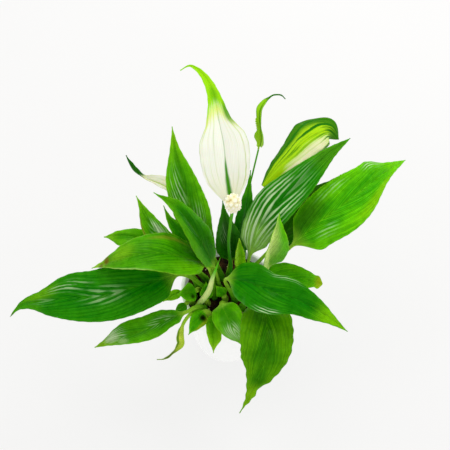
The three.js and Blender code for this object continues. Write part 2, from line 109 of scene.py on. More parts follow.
# Places and unit directions on such a curve, read off by length.
def alongCurve(curve, shares):
    at = np.asarray(shares) * curve["lengths"][-1]
    slopes = np.gradient(curve["places"], curve["lengths"], axis=0)
    places, directions = [np.stack([np.interp(at, curve["lengths"], column) for column in table.T], -1)
                          for table in (curve["places"], slopes)]
    return places, directions / np.linalg.norm(directions, axis=1, keepdims=True)


# An outline's (share of length, share of half width) at even steps: an even Catmull-Rom spline.
def outlineSteps(outline, count):
    p = np.array(outline, float)
    p = np.vstack([p[0], p, p[-1]])
    at = np.linspace(0, len(p) - 3, count)
    i = np.minimum(at.astype(int), len(p) - 4)
    t = (at - i)[:, None]
    p0, p1, p2, p3 = p[i], p[i + 1], p[i + 2], p[i + 3]
    return 0.5 * (2 * p1 + (p2 - p0) * t + (2 * p0 - 5 * p1 + 4 * p2 - p3) * t ** 2
                  + (3 * p1 - p0 - 3 * p2 + p3) * t ** 3)


# Faces over rings of points: neighbours on a ring and on the next ring make a quad, and each end
# ring closes on one more point at its middle.
def ringFaces(rows, columns):
    i, j = np.meshgrid(np.arange(rows - 1), np.arange(columns), indexing="ij")
    a, b = i * columns + j, i * columns + (j + 1) % columns
    quads = np.stack([a, b, b + columns, a + columns], -1).reshape(-1, 4)
    k = np.arange(columns)
    after, last = (k + 1) % columns, (rows - 1) * columns
    first = np.stack([np.full(columns, rows * columns), after, k], -1)
    second = np.stack([np.full(columns, rows * columns + 1), last + k, last + after], -1)
    return quads, np.concatenate([first, second])


# A closed skin over rings of points. A skin that encloses less than nothing is turned inside out.
def ringMesh(name, rings, tone, lay=None):
    rows, columns = rings.shape[:2]
    points = np.concatenate([rings.reshape(-1, 3), rings[[0, -1]].mean(axis=1)]) * mm
    quads, fans = ringFaces(rows, columns)
    c = points[quads]
    if np.einsum("ij,ij->i", np.cross(c[:, 0], c[:, 1]), c[:, 2]).sum() < 0:
        quads, fans = quads[:, ::-1], fans[:, ::-1]
    tone, lay = [np.concatenate([field.reshape(rows * columns, -1), field[[0, -1]].mean(axis=1)])
                 for field in (tone, np.zeros_like(rings) if lay is None else lay)]
    return meshPiece(name, points, quads.tolist() + fans.tolist(), tone, lay)


# Puts a mesh, a lamp or a camera into the scene.
def newObject(name, data):
    thing = bpy.data.objects.new(name, data)
    bpy.context.collection.objects.link(thing)
    return thing


# A named object from points and faces. Every point has a colour, and three numbers that tell how
# the veins lie: the number of the vein, millimetres along the blade, and 1 where there are veins.
def meshPiece(name, points, faces, tone, lay):
    mesh = bpy.data.meshes.new(name)
    mesh.from_pydata(points.tolist(), [], faces)
    colours = np.ones((len(points), 4), np.float32)
    colours[:, :tone.shape[1]] = tone
    mesh.attributes.new("tone", "FLOAT_COLOR", "POINT").data.foreach_set("color", colours.ravel())
    lay = lay.astype(np.float32)
    mesh.attributes.new("lay", "FLOAT_VECTOR", "POINT").data.foreach_set("vector", lay.ravel())
    mesh.polygons.foreach_set("use_smooth", np.ones(len(mesh.polygons), bool))
    mesh.update()
    return newObject(name, mesh)


# Gives a piece its material and its body, and hides the frame's node that it takes the place of.
def dress(piece, material, node):
    piece.data.materials.append(material)
    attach(piece, "root")
    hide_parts(node)


# Sets a node's inputs: a socket is linked, a node is linked by its first output, and anything else
# is the input's own value. A pair of inputs takes a pair of values.
def setInputs(node, inputs):
    for key, value in inputs.items():
        if isinstance(key, tuple):
            setInputs(node, dict(zip(key, value)))
        elif isinstance(value, (bpy.types.Node, bpy.types.NodeSocket)):
            socket = value.outputs[0] if isinstance(value, bpy.types.Node) else value
            node.id_data.links.new(socket, node.inputs[key])
        else:
            node.inputs[key].default_value = value


# Adds a node with its settings, input values and links to a tree.
def addNode(tree, kind, inputs=None, **settings):
    node = tree.nodes.new("ShaderNode" + kind)
    for key, value in settings.items():
        setattr(node, key, value)
    setInputs(node, inputs or {})
    return node


# A new material with an empty tree that ends in a Principled shader, whose inputs are given. Gives
# the material, addNode for its own tree, and the shader.
def newMaterial(name, uniform):
    material = bpy.data.materials.new(name)
    material.use_nodes = True
    material.node_tree.nodes.clear()
    add = functools.partial(addNode, material.node_tree)
    shader = add("BsdfPrincipled", uniform)
    add("OutputMaterial", {"Surface": shader})
    return material, add, shader


# What many nodes share: the inputs of a Map Range node for its two ranges, the range in which a noise
# mostly lies, the scale at which a wave texture repeats once in a unit, and settings.
inRange, outRange = (1, 2), (3, 4)
noiseSpan = {inRange: (0.3, 0.7)}
oneWave = 0.314
soft = dict(interpolation_type="SMOOTHSTEP")
blend = dict(data_type="RGBA")
darken = dict(data_type="RGBA", blend_type="MULTIPLY")
times = dict(operation="MULTIPLY")
plusTimes = dict(operation="MULTIPLY_ADD")

# fibres and patches: how many to a vein, and their length. Pairs: the lowest and highest value. The crease
# range darkens the creases as painted shade; the last two entries paint pale highlights on the ridges: where
# they show, and their colour.
leafFinish = dict(
    finePerVein=3, veinShade="#B9C88E", creaseShade=(0.85, 1.0), fibres=(3.5, 34), fibreSpan=(0.34, 0.66),
    fibreValue=(0.76, 1.2), hue=(0.508, 0.49), patches=(0.9, 16), mottle=5.0, mottleValue=(0.86, 1.12),
    grain=0.5, grainHeight=0.2, rough=(0.24, 0.38), bump=0.2, ridgeShare=0.3, fibreShare=0.28,
    sheenSpan=(0.76, 0.98), streak="#C4E0AC")


# Living leaf blade with a waxy skin: its gloss throws back the lamps in soft streaks over a deep
#  green, and fine veins, streaks along them and small cells keep it from looking like plastic. Painted
#  shade darkens the creases at the veins, and painted highlights lie as pale streaks on the ridges.
def leafSkin(name, finish):
    material, add, shader = newMaterial(name, {
        "IOR": 1.42, "Specular IOR Level": 0.3, "Specular Tint": (0.85, 1, 0.25, 1), "Coat Weight": 0.06,
        "Coat Roughness": 0.15, "Coat IOR": 1.4})
    tone = add("Attribute", attribute_name="tone")
    lay = add("Attribute", attribute_name="lay").outputs["Vector"]
    blade = add("SeparateXYZ", {0: lay}).outputs["Z"]
    place = add("TexCoord").outputs["Object"]
    # The phase puts the low of a wave on a vein.
    wave = {"Vector": lay, "Phase Offset": -np.pi / 2}
    ridges, fine = [add("TexWave", wave | {"Scale": oneWave * perVein}).outputs["Fac"]
                    for perVein in (1, finish["finePerVein"])]
    shown = add("MapRange", {0: fine, inRange: (0.4, 0.0), 3: 0.0, 4: blade}, **soft)
    combed, spread = [add("Mapping", {"Vector": lay, "Scale": (number, 1 / length, 1)})
                      for number, length in (finish["fibres"], finish["patches"])]
    fibres = add("TexNoise", {"Vector": combed, "Scale": 1.0, "Detail": 3, "Roughness": 0.6})
    patches = add("TexNoise", {"Vector": spread, "Scale": 1.0, "Detail": 3})
    mottle = add("TexNoise", {"Vector": place, "Scale": 1 / (finish["mottle"] * mm), "Detail": 4})
    grain = add("TexNoise", {"Vector": place, "Scale": 1 / (finish["grain"] * mm), "Detail": 2})
    shade = add("Mix", {0: shown, 6: (1, 1, 1, 1), 7: opaque(finish["veinShade"])}, **blend)
    veined = add("Mix", {0: 1.0, 6: tone, 7: shade.outputs[2]}, **darken)
    # Painted shade: the creases at the veins are darkened.
    creaseShade = add("MapRange", {0: ridges, inRange: (0.0, 0.35), outRange: finish["creaseShade"]})
    streak = add("MapRange", {0: fibres, inRange: finish["fibreSpan"], outRange: finish["fibreValue"]})
    value = add("MapRange", {0: mottle, outRange: finish["mottleValue"]} | noiseSpan)
    value = add("Math", {0: value, 1: streak}, **times)
    value = add("Math", {0: value, 1: creaseShade}, **times)
    hue = add("MapRange", {0: fibres, outRange: finish["hue"]} | noiseSpan)
    varied = add("HueSaturation", {"Hue": hue, "Value": value, "Color": veined.outputs[2]})
    # Painted highlights: pale streaks stand on the ridges between veins, broken up by the fibres and in
    # patches, as strongly as the tone's fourth number says.
    high = add("Math", {0: ridges, 1: finish["ridgeShare"], 2: patches}, **plusTimes)
    high = add("Math", {0: fibres, 1: finish["fibreShare"], 2: high}, **plusTimes)
    comb = add("MapRange", {0: high, inRange: finish["sheenSpan"]}, **soft)
    sheenShown = add("Math", {0: comb, 1: tone.outputs["Alpha"]}, **times)
    pale = add("Mix", {0: sheenShown, 6: varied, 7: opaque(finish["streak"])}, **blend)
    rough = add("MapRange", {0: mottle, outRange: finish["rough"]} | noiseSpan)
    relief = add("Math", {0: grain, 1: finish["grainHeight"], 2: shown}, **plusTimes)
    bump = add("Bump", {"Strength": finish["bump"], "Distance": 0.2 * mm, "Height": relief}, invert=True)
    setInputs(shader, {"Base Color": pale.outputs[2], "Roughness": rough, "Normal": bump})
    return material


# fibres: their width and length, in millimetres as the other sizes.
petalFinish = dict(veinSpacing=1.2, veinShade="#F1F5DC", fibres=(0.8, 30), cells=1.5, value=(0.94, 1.04),
                   rough=(0.38, 0.5), bump=0.25)


# Petal flesh of a spathe: thin, satin and slightly see-through, with fine veins along it.
def spatheSkin(name, finish):
    material, add, shader = newMaterial(name, {
        "IOR": 1.42, "Specular IOR Level": 0.3, "Specular Tint": (1, 1, 0.5, 1), "Subsurface Weight": 0.06,
        "Subsurface Scale": 0.001})
    tone = add("Attribute", attribute_name="tone")
    lay = add("Attribute", attribute_name="lay").outputs["Vector"]
    place = add("TexCoord").outputs["Object"]
    veins = add("TexWave", {"Vector": lay, "Scale": oneWave / finish["veinSpacing"], "Distortion": 1.2,
                            "Detail": 1.0, "Detail Scale": 0.3}).outputs["Fac"]
    width, length = finish["fibres"]
    combed = add("Mapping", {"Vector": lay, "Scale": (1 / width, 1 / length, 1)})
    fibres = add("TexNoise", {"Vector": combed, "Scale": 1.0, "Detail": 3})
    cells = add("TexNoise", {"Vector": place, "Scale": 1 / (finish["cells"] * mm), "Detail": 3})
    shown = add("MapRange", {0: veins, inRange: (0.55, 1.0), 3: 0.0, 4: fibres}, **soft)
    shade = add("Mix", {0: shown, 6: (1, 1, 1, 1), 7: opaque(finish["veinShade"])}, **blend)
    veined = add("Mix", {0: 1.0, 6: tone, 7: shade.outputs[2]}, **darken)
    value = add("MapRange", {0: fibres, outRange: finish["value"]} | noiseSpan)
    varied = add("HueSaturation", {"Value": value, "Color": veined.outputs[2]})
    rough = add("MapRange", {0: cells, outRange: finish["rough"]} | noiseSpan)
    bump = add("Bump", {"Strength": finish["bump"], "Distance": 0.15 * mm, "Height": shown}, invert=True)
    setInputs(shader, {"Base Color": varied, "Roughness": rough, "Normal": bump})
    return material


# Painted flesh with one fine grain, which varies its brightness, its gloss and its relief.
def fleshSkin(name, finish):
    material, add, shader = newMaterial(name, finish["shading"])
    tone = add("Attribute", attribute_name="tone")
    place = add("TexCoord").outputs["Object"]
    stretched = add("Mapping", {"Vector": place, "Scale": (1, 1, finish["squeeze"])})
    grain = add("TexNoise", {"Vector": stretched, "Scale": 1 / (finish["grain"] * mm), "Detail": 3})
    value, rough = [add("MapRange", {0: grain, outRange: finish[key]} | noiseSpan)
                    for key in ("value", "rough")]
    varied = add("HueSaturation", {"Value": value, "Color": tone})
    bump = add("Bump", {"Strength": finish["bump"], "Distance": 0.2 * mm, "Height": grain})
    setInputs(shader, {"Base Color": varied, "Roughness": rough, "Normal": bump})
    return material


# Points as (share of the blade's length, share of its half width).
leafOutline = [(0, 0.05), (0.06, 0.4), (0.17, 0.79), (0.34, 1), (0.52, 0.9), (0.7, 0.6), (0.86, 0.23), (1, 0)]
spatheOutline = [(0, 0.12), (0.07, 0.45), (0.17, 0.85), (0.3, 1), (0.41, 0.93), (0.51, 0.53), (0.64, 0.3),
                 (0.8, 0.15), (1, 0)]
budOutline = [(0, 0.35), (0.1, 1), (0.19, 0.9), (0.3, 0.34), (0.41, 0.4), (0.52, 0.52), (0.62, 0.52),
              (0.73, 0.22), (0.83, 0.13), (0.93, 0.1), (1, 0)]
slimOutline = [(0, 0.5), (0.08, 0.95), (0.2, 1), (0.35, 0.7), (0.48, 0.4), (0.58, 0.26), (0.68, 0.36),
               (0.78, 0.38), (0.9, 0.2), (1, 0)]
cupOutline = [(0, 0.1), (0.12, 0.38), (0.28, 0.66), (0.48, 0.92), (0.66, 1), (0.82, 0.78), (0.93, 0.35),
              (1, 0)]

# Greens of a blade as (by the midrib, by the margin, the rim itself, the tip).
greens = {
    "dark": ("#088000", "#228E00", "#4CA010", "#4CAC00"),
    "middle": ("#248600", "#46A800", "#74BC1C", "#54A400"),
    "fresh": ("#3C9C00", "#60C000", "#8CCC24", "#78C008"),
    "bright": ("#40B000", "#64CC00", "#88D810", "#74D800"),
    "broad": ("#349200", "#50B000", "#8CCB24", "#94CC1C"),
    "olive": ("#308000", "#58A000", "#6CA810", "#88C400"),
    "deep": ("#0A5400", "#1C7400", "#3C8C0C", "#26780A"),
    "lime": ("#6CC400", "#8CDC0C", "#A8DC2C", "#9CD818"),
    "pale": ("#DCF450", "#B8DC30", "#BCDC64", "#4C6A14"),
}

# foot: where the stalk stands. blade: the midrib's points. width, face, fold, arch, wave and others
# shape the blade, and looks names its greens. bumps: (side, where, spread, height) of an edge, with
# the side 1 or -1. spots: (where, aside, spread, width, colour, amount) of a patch.
# sheens: (where, aside, spread, width, amount) of pale streaks between the veins, which are painted
#  highlights. Some spots paint highlights and some paint shade, as marked at each leaf.
leaves = {
    "leaf_left_long": dict(
        foot=(-19, -1), width=45, face=(0, -0.35, 1), wave=1.2, fullness=0.75,
        blade=[(-41, -10, 136), (-69, -25, 147), (-106, -37, 149), (-146, -36, 140), (-177, -35, 126),
               (-187, -41, 117)],
        bumps=[(1, 0.62, 0.1, 2.6), (1, 0.78, 0.11, -3.4), (1, 0.93, 0.05, -2), (-1, 0.84, 0.1, -2.6),
               (-1, 0.95, 0.04, -1.2)],
        looks="dark", spots=[(0.78, 0.6, 0.1, 0.5, "#7CC400", 0.5), (0.99, 0, 0.025, 2, "#5A5A10", 0.8)],
        paintedSheens=[(0.62, 0.5, 0.12, 0.22, 0.48), (0.44, 0, 0.11, 0.34, 0.36), (0.78, -0.1, 0.08, 0.3, 0.16)]),
    "leaf_left_broad": dict(
        foot=(-13, -5), width=38, face=(0, 0, 1), wave=1,
        blade=[(-18, -7, 145), (-36, -10, 165), (-56, -13, 178), (-76, -15, 178), (-94, -16, 171),
               (-114, -15, 156)],
        bumps=[(1, 0.62, 0.12, 1.5)],
        looks="broad",
        # The narrow pale strip along the edge at v -1 is a painted highlight.
        spots=[(0.2, -0.6, 0.16, 0.5, "#6CC000", 0.6), (0.72, 0.4, 0.1, 0.6, "#8CC81C", 0.5),
               (0.72, -1, 0.2, 0.08, "#CCE4A0", 0.8), (0.36, 0.75, 0.16, 0.1, "#9C9A2C", 0.5),
               (0.85, 0.3, 0.024, 0.8, "#7A4A10", 0.75), (0.9, -0.6, 0.02, 0.8, "#6A4010", 0.7)]),
    "leaf_left_upper": dict(
        foot=(-8, 2), width=28, face=(0.5, -0.1, 0.8), wave=0.8,
        blade=[(-12, -5, 138), (-20, 2, 162), (-31, 10, 184), (-43, 19, 198), (-61, 28, 205)],
        bumps=[(1, 0.8, 0.02, 1), (1, 0.86, 0.02, 1)],
        looks="middle",
        spots=[(0.5, -0.75, 0.4, 0.3, "#5CA810", 0.5), (0.35, 0.2, 0.35, 0.6, "#0E5C00", 0.6)]),
    "leaf_left_behind": dict(
        foot=(-14, 8), width=17, face=(0, -0.4, 1),
        blade=[(-17, 4, 130), (-29, 7, 148), (-41, 16, 162), (-50, 25, 170), (-55, 35, 175)],
        looks="middle"),
    "leaf_left_small": dict(
        foot=(-20, 11), width=22, face=(-0.2, -0.6, 0.8), veinCount=5,
        blade=[(-38, 9, 126), (-56, 16, 147), (-66, 25, 160), (-72, 34, 167), (-79, 47, 172)],
        bumps=[(-1, 0.65, 0.15, 1)],
        looks="fresh",
        # The pale patch near the middle is a painted highlight; the brown edge is the leaf's own.
        spots=[(0.6, -0.95, 0.3, 0.14, "#A07C30", 0.6), (0.5, 0.4, 0.12, 0.3, "#CCE4BC", 0.75)],
        paintedSheens=[(0.5, 0.3, 0.16, 0.5, 1.3)]),
    "leaf_left_low": dict(
        foot=(-27, 4), width=20, face=(0, -0.3, 1),
        blade=[(-43, 11, 125), (-68, 19, 140), (-84, 22, 146), (-96, 24, 144), (-109, 27, 137)],
        bumps=[(-1, 0.76, 0.14, 4.6), (1, 0.85, 0.08, 1.2)],
        looks="fresh"),
    "leaf_back_tall": dict(
        foot=(-6, 13), width=32, face=(0, -0.8, 0.6), wave=1,
        blade=[(-14, 14, 130), (-25, 23, 160), (-34, 36, 182), (-39, 48, 199), (-44, 64, 211),
               (-47, 84, 220)],
        bumps=[(-1, 0.66, 0.12, 2.6), (1, 0.2, 0.16, -4.2)],
        looks="fresh", spots=[(0.5, 0, 0.5, 0.3, "#2C8A00", 0.5)],
        paintedSheens=[(0.5, -0.45, 0.22, 0.35, 0.6), (0.36, 0.35, 0.1, 0.3, 0.4)]),
    "leaf_back_dark": dict(
        foot=(1, 17), width=25, face=(0, -0.8, 0.6),
        blade=[(2, 17, 110), (1, 16, 145), (-3, 21, 175), (-5, 30, 190)],
        looks="deep", paintedSheens=[(0.6, -0.4, 0.14, 0.3, 0.25)]),
    "leaf_back_slim": dict(
        foot=(8, 15), width=18, face=(0, -0.8, 0.6),
        blade=[(9, 18, 115), (13, 26, 150), (15, 32, 180), (17, 41, 197), (18, 48, 208)],
        looks="dark"),
    "leaf_right_striped": dict(
        foot=(16, 5), width=31, face=(-0.2, -0.6, 0.8), wave=1, fullness=0.85, pleat=0.5, reach=1.5,
        veinCount=3.2, streakLength=2.4,
        blade=[(18, 7, 136), (25, 14, 170), (37, 22, 191), (57, 38, 203), (79, 61, 208), (103, 84, 204)],
        bumps=[(-1, 0.42, 0.12, 2.2), (-1, 0.75, 0.1, -1.2)],
        looks="dark", paintedSheens=[(0.3, -0.45, 0.34, 0.5, 1.1), (0.36, 0.4, 0.26, 0.4, 0.9)],
        # The pale wash over the base is a painted highlight, like the sheens there; the tip green is its own.
        spots=[(0.85, 0, 0.14, 3, "#46920A", 0.8), (0.12, 0, 0.16, 3, "#A0D860", 0.8)]),
    "leaf_right_bright": dict(
        foot=(24, 10), width=46, wave=1, fullness=0.95,
        blade=[(53, 9, 150), (72, 20, 166), (94, 33, 176), (119, 54, 177), (141, 76, 170), (158, 92, 162)],
        bumps=[(-1, 0.7, 0.07, 3.6), (1, 0.72, 0.14, -4), (1, 0.1, 0.09, 4)],
        looks="bright",
        # The dark patch near the base on one half is painted shade.
        spots=[(0.16, -0.55, 0.16, 0.5, "#2A7800", 0.9), (0.62, 0.8, 0.2, 0.25, "#90D000", 0.6)],
        paintedSheens=[(0.72, -0.78, 0.07, 0.2, 0.7), (0.4, -0.72, 0.1, 0.14, 0.4), (0.24, 0.45, 0.07, 0.2, 0.35)]),
    "leaf_right_shaded": dict(
        foot=(18, 17), width=35, face=(0, -0.3, 1),
        blade=[(38, 20, 130), (57, 36, 144), (79, 57, 154), (100, 79, 158)],
        # The spot over the whole blade paints it darker, as shade under the leaves beside it.
        looks="deep", spots=[(0.6, 0, 0.4, 2, "#2A6400", 0.7)]),
    "leaf_right_folded": dict(
        foot=(17, -4), width=26, face=(0.6, -0.7, 0.4), fold=0.8,
        blade=[(33, -11, 150), (35, -6, 170), (38, 0, 186), (41, 12, 199)],
        looks="bright",
        # The near-white wash over one half is partly its paler underside and partly painted light.
        spots=[(0.5, -0.5, 0.6, 0.85, "#E4FF90", 0.97), (0.12, 0.4, 0.2, 0.7, "#5CB800", 0.7)]),
    "leaf_right_short": dict(
        foot=(24, 1), width=24, face=(0, -0.3, 1), fullness=0.65,
        blade=[(31, 4, 100), (46, 4, 108), (62, 0, 111), (75, -1, 108), (84, -1, 102)],
        bumps=[(-1, 0.92, 0.06, 2.6), (1, 0.92, 0.06, 2.6)],
        looks="bright", spots=[(0.97, 0, 0.12, 3, "#B4CC00", 0.85)]),
    "leaf_right_front": dict(
        foot=(6, -8), width=39, wave=1.2,
        blade=[(-2, -19.5, 145.5), (15, -31, 161), (35, -44, 170), (53, -51, 170), (73, -58, 162),
               (96, -69, 148)],
        bumps=[(-1, 0.39, 0.1, -5), (-1, 0.64, 0.18, -2.2), (1, 0.6, 0.12, -3)],
        looks="dark", spots=[(0.93, 0, 0.17, 3, "#86D400", 0.9), (0.2, 0.6, 0.2, 0.5, "#1C9000", 0.6)],
        paintedSheens=[(0.46, -0.9, 0.12, 0.12, 0.5), (0.42, 0.88, 0.08, 0.13, 0.9)]),
    "leaf_front_broad": dict(
        foot=(12, -17), width=47, wave=1.5, fullness=1.35, edgeWaver=0.35, pleat=0.15,
        blade=[(25, -26, 128), (31, -56, 142), (31, -77, 140), (28, -93, 130), (20, -107, 118),
               (9, -121, 102)],
        bumps=[(1, 0.33, 0.1, -1.8), (1, 0.6, 0.07, 2.2), (-1, 0.35, 0.15, -2.2), (-1, 0.66, 0.1, -2.6),
               (-1, 0.77, 0.05, -3.2)],
        looks="olive"),
    "leaf_front_left": dict(
        foot=(-22, -18), width=21, face=(0, -0.3, 1), fullness=0.85, stalk=[(-28, -25, 104)],
        blade=[(-37, -34, 112), (-54, -47, 123), (-69, -57, 127), (-91, -63, 123), (-113, -67, 112)],
        bumps=[(1, 0.67, 0.18, 3.6), (1, 0.15, 0.1, -1.6), (-1, 0.22, 0.12, -2)],
        # Both pale patches are painted highlights.
        looks="broad", spots=[(0.8, 0.3, 0.07, 0.6, "#C0D8AC", 0.8), (0.7, -0.6, 0.05, 0.35, "#B4D090", 0.5)],
        paintedSheens=[(0.78, 0.2, 0.1, 0.8, 1.0), (0.3, 0.1, 0.14, 0.4, 0.4)]),
    "leaf_front_small_right": dict(
        foot=(-1, -16), width=26,
        blade=[(-6, -22, 105), (-2, -36, 112), (4, -48, 110), (10, -55, 105), (15, -61, 97)],
        looks="fresh", spots=[(0.06, 0, 0.1, 3, "#A0DC48", 0.8), (0.72, 0.2, 0.2, 0.8, "#84CC40", 0.6)],
        paintedSheens=[(0.66, 0.2, 0.16, 0.7, 0.9)]),
    "leaf_front_small_left": dict(
        foot=(-8, -21), width=15,
        blade=[(-11, -26, 93), (-12, -38, 98), (-13, -53, 96), (-13, -61, 87)],
        bumps=[(-1, 0.7, 0.12, 2)],
        looks="lime", spots=[(0.3, 0.4, 0.3, 0.8, "#44A400", 0.8)]),
    "leaf_crown_a": dict(
        foot=(-31, -5), width=9, stalk=[(-34, -6, 98)],
        blade=[(-41, -9, 102), (-49, -13, 103), (-58, -17, 99)],
        looks="lime"),
    "leaf_crown_b": dict(
        foot=(-27, 0), width=17,
        blade=[(-29, -8, 103), (-37, -14, 109), (-45, -15, 109)],
        looks="bright",
        # The small near-black spot is painted shade, seen through a gap.
        spots=[(0.5, 0.3, 0.3, 0.8, "#4CA400", 0.5), (0.35, -0.5, 0.11, 0.26, "#0A2800", 0.9)]),
    "leaf_crown_c": dict(
        foot=(-19, -12), width=12,
        blade=[(-20, -12, 93), (-19.5, -7, 100), (-20, -1, 106)],
        looks="bright"),
    "leaf_crown_d": dict(
        foot=(-33, -11), width=9, stalk=[(-35, -15, 98)],
        blade=[(-37.5, -20, 101), (-42, -25, 101), (-48, -27, 97)],
        looks="broad"),
    "leaf_crown_e": dict(
        foot=(-15, -26), width=15,
        blade=[(-21, -26, 97), (-27, -37, 101), (-35, -47, 94)],
        looks="bright",
        # The near-black spot stands for a hole and is painted shade; the yellow edge is the leaf's own.
        spots=[(0.5, -0.9, 0.4, 0.35, "#A8B020", 0.7), (0.3, -0.35, 0.13, 0.5, "#040600", 1.0)]),
    "leaf_crown_f": dict(
        foot=(-3, -8), width=11,
        blade=[(-4, -9, 95), (-7, -8, 102), (-11, -6, 108)],
        looks="bright"),
    "leaf_young_cup": dict(
        foot=(10, 4), width=9.5, face=(0, -0.9, 0.3), fold=1, arch=0.2, fullness=0.7,
        blade=[(10, 5, 122), (10, 6, 143), (9, 9, 164)],
        looks="lime", spots=[(0.5, -0.6, 0.5, 0.7, "#B0EC20", 0.8)]),
    "leaf_withered": dict(
        foot=(-27, -22), width=7, radius=1.3, stalk=[(-32, -29, 101)],
        blade=[(-39, -40, 103), (-42, -49, 96), (-42, -54, 90), (-49, -60, 84), (-56, -63, 79),
               (-63, -63, 77)],
        bumps=[(-1, 0.62, 0.14, -1.5), (1, 0.62, 0.14, -1.5)],
        looks="pale", spots=[(0.35, 0.8, 0.3, 0.5, "#4C8410", 0.9), (0.78, 0, 0.24, 3, "#2C5408", 0.95)]),
}

# Shape of a blade and its stalk, where a leaf says nothing else, in millimetres. In the formulas v
# runs across a blade from -1 at one edge to 1 at the other, and y is the distance from the midrib.
leafShape = dict(
    outline=leafOutline, face=(0, -0.5, 0.9), stalk=(), radius=1.7, taper=0.3, sheath=1.1, sheathHeight=18,
    channel=0.3, turnFlat=0.14, fold=0.28, arch=0.2, wave=0, fullness=1, tipHalfWidth=0.4, thickness=0.7,
    edgeThickness=0.3, keel=0.9, keelWidth=1.1, groove=0.4, grooveWidth=0.9, ripples=2.2, rippleShift=0.5,
    reach=0.9, veinCount=8, pleat=0.3, fullPleat=12, edgeRipple=0.3, rippleTurn=0.5, edgeWaver=0.12,
    waverTurn=0.8, bumps=(), streakLength=1)


# Rings of points over a blade and its stalk. Along the midrib the section turns from a circle into
# a strip: side = v * w, rise = w * (fold * |v| - arch * v * v) + ripples + pleats, where w is the
# half width and v runs from -1 to 1. The veins start along the midrib and lean to the tip: vein
# number = veinCount * (share - reach * (0.6 |v| + 0.4 v * v)), and pleats are low ridges between
# them. A bump widens one edge: height * exp(-((share - where) / spread) ^ 2). The stalk widens to a
# sheath at the soil: radius * (1 + sheath * exp(-(height above the soil / sheathHeight) ^ 2)). The
# midrib is a groove above and a keel below, both as depth * exp(-(y / width) ^ 2).
def bladeRings(curve, shape, steps, across, start=0.0, stalkSteps=0):
    share, half = outlineSteps(shape["outline"], steps).T
    half = np.maximum(half, 0) ** shape["fullness"] * shape["width"] / 2
    stalkAt = np.linspace(0, start, stalkSteps, endpoint=False)
    at = np.concatenate([stalkAt, start + (1 - start) * share])[:, None]
    share = np.concatenate([np.zeros(stalkSteps), share])[:, None]
    half = np.concatenate([np.zeros(stalkSteps), half])[:, None]
    place, along = alongCurve(curve, at[:, 0])
    side = np.cross(along, np.array(shape["face"], float))
    # An upright foot may point along the face. Up to its last such ring, it takes the side above.
    clear = np.max(np.flatnonzero(np.linalg.norm(side, axis=1) < 0.01), initial=-1) + 1
    side[:clear] = side[clear]
    side /= np.linalg.norm(side, axis=1, keepdims=True)
    rise = np.cross(side, along)
    k = np.arange(2 * across)[None, :]
    under = k >= across
    v = np.where(under, 1 - 2 * (k - across) / (across - 1), -1 + 2 * k / (across - 1))
    run = share * curve["lengths"][-1] * (1 - start)
    inside = smooth(0, 0.12, share) * smooth(1, 0.9, share)
    waver = shape["edgeWaver"] * inside * np.sin(run * shape["waverTurn"] + 2 * np.sign(v))
    w = np.maximum(half, shape["tipHalfWidth"]) + waver
    for sign, where, spread, height in shape["bumps"]:
        w = w + height * np.exp(-((share - where) / spread) ** 2) * smooth(0, 0.3, sign * v) * (share > 0)
    y = np.abs(v) * w
    vein = shape["veinCount"] * (share - shape["reach"] * (0.6 * np.abs(v) + 0.4 * v * v))
    # The fold is rounded at the midrib: sqrt(v * v + 0.004) stands for |v|.
    crown = np.sqrt(v * v + 0.004) - 0.063
    lift = w * (shape["fold"] * crown - shape["arch"] * v * v)
    waves = np.sin(2 * np.pi * (shape["ripples"] * share + shape["rippleShift"] * (v > 0)))
    lift = lift + shape["wave"] * v ** 2 * waves * np.sin(np.pi * share)
    pleat = np.minimum(w / shape["fullPleat"], 1.2) * (np.abs(np.sin(np.pi * vein)) ** 0.8 - 0.6)
    lift = lift + shape["pleat"] * pleat * inside * smooth(0, 3, y) * (1 - v ** 8)
    lift = lift + shape["edgeRipple"] * v ** 4 * np.sin(run * shape["rippleTurn"] + 3 * np.sign(v)) * inside
    skin = shape["edgeThickness"] / 2 + (shape["thickness"] - shape["edgeThickness"]) / 2 * (1 - v ** 4)
    groove = shape["groove"] * np.exp(-(y / shape["grooveWidth"]) ** 2) * inside
    keel = shape["keel"] * np.exp(-(y / shape["keelWidth"]) ** 2) * (1 - share)
    lift = lift + np.where(under, -skin - keel, skin - groove)
    flat = smooth(0, shape["turnFlat"], share) if start > 0 else np.ones_like(share)
    above = np.maximum(place[:, 2:] - soilTop, 0)
    stalk = shape["radius"] * (1 - shape["taper"] * at)
    stalk = stalk * (1 + shape["sheath"] * np.exp(-(above / shape["sheathHeight"]) ** 2))
    turn = np.radians(-90 + 90 / across + k * 180 / across)
    channel = shape["channel"] * np.exp(-(turn / 0.5) ** 2) * smooth(0, 0.3, at)
    aside = mixNumbers(stalk * np.sin(turn), v * w, flat)
    upward = mixNumbers(stalk * (np.cos(turn) - channel), lift, flat)
    rings = place[:, None] + aside[..., None] * side[:, None] + upward[..., None] * rise[:, None]
    fields = dict(share=share, v=v, w=w, y=y, edge=w * (1 - np.abs(v)), vein=vein, run=run, under=under,
                  blade=flat, at=at)
    return rings, {key: np.broadcast_to(field, aside.shape) for key, field in fields.items()}


# Adds patches of colour to a blade: each is mixed in by its amount times a soft round spot over
# the share of the length and v.
def spotted(colour, at, spots):
    for where, aside, spread, width, shade, amount in spots:
        patch = spot(at["share"], at["v"], where, aside, spread, width)
        colour = mix(colour, linear(shade), amount * patch * (at["share"] > 0))
    return colour


leafPaint = dict(
    blotch=26, blotched=0.3, banded=0.25, tipStart=0.68, rimWidth=0.55, rim=0.8, ribWidth=0.45, rib=0.25,
    under="#64A82C", underShare=0.35, stalk=("#4CA00A", "#A8D83C"))
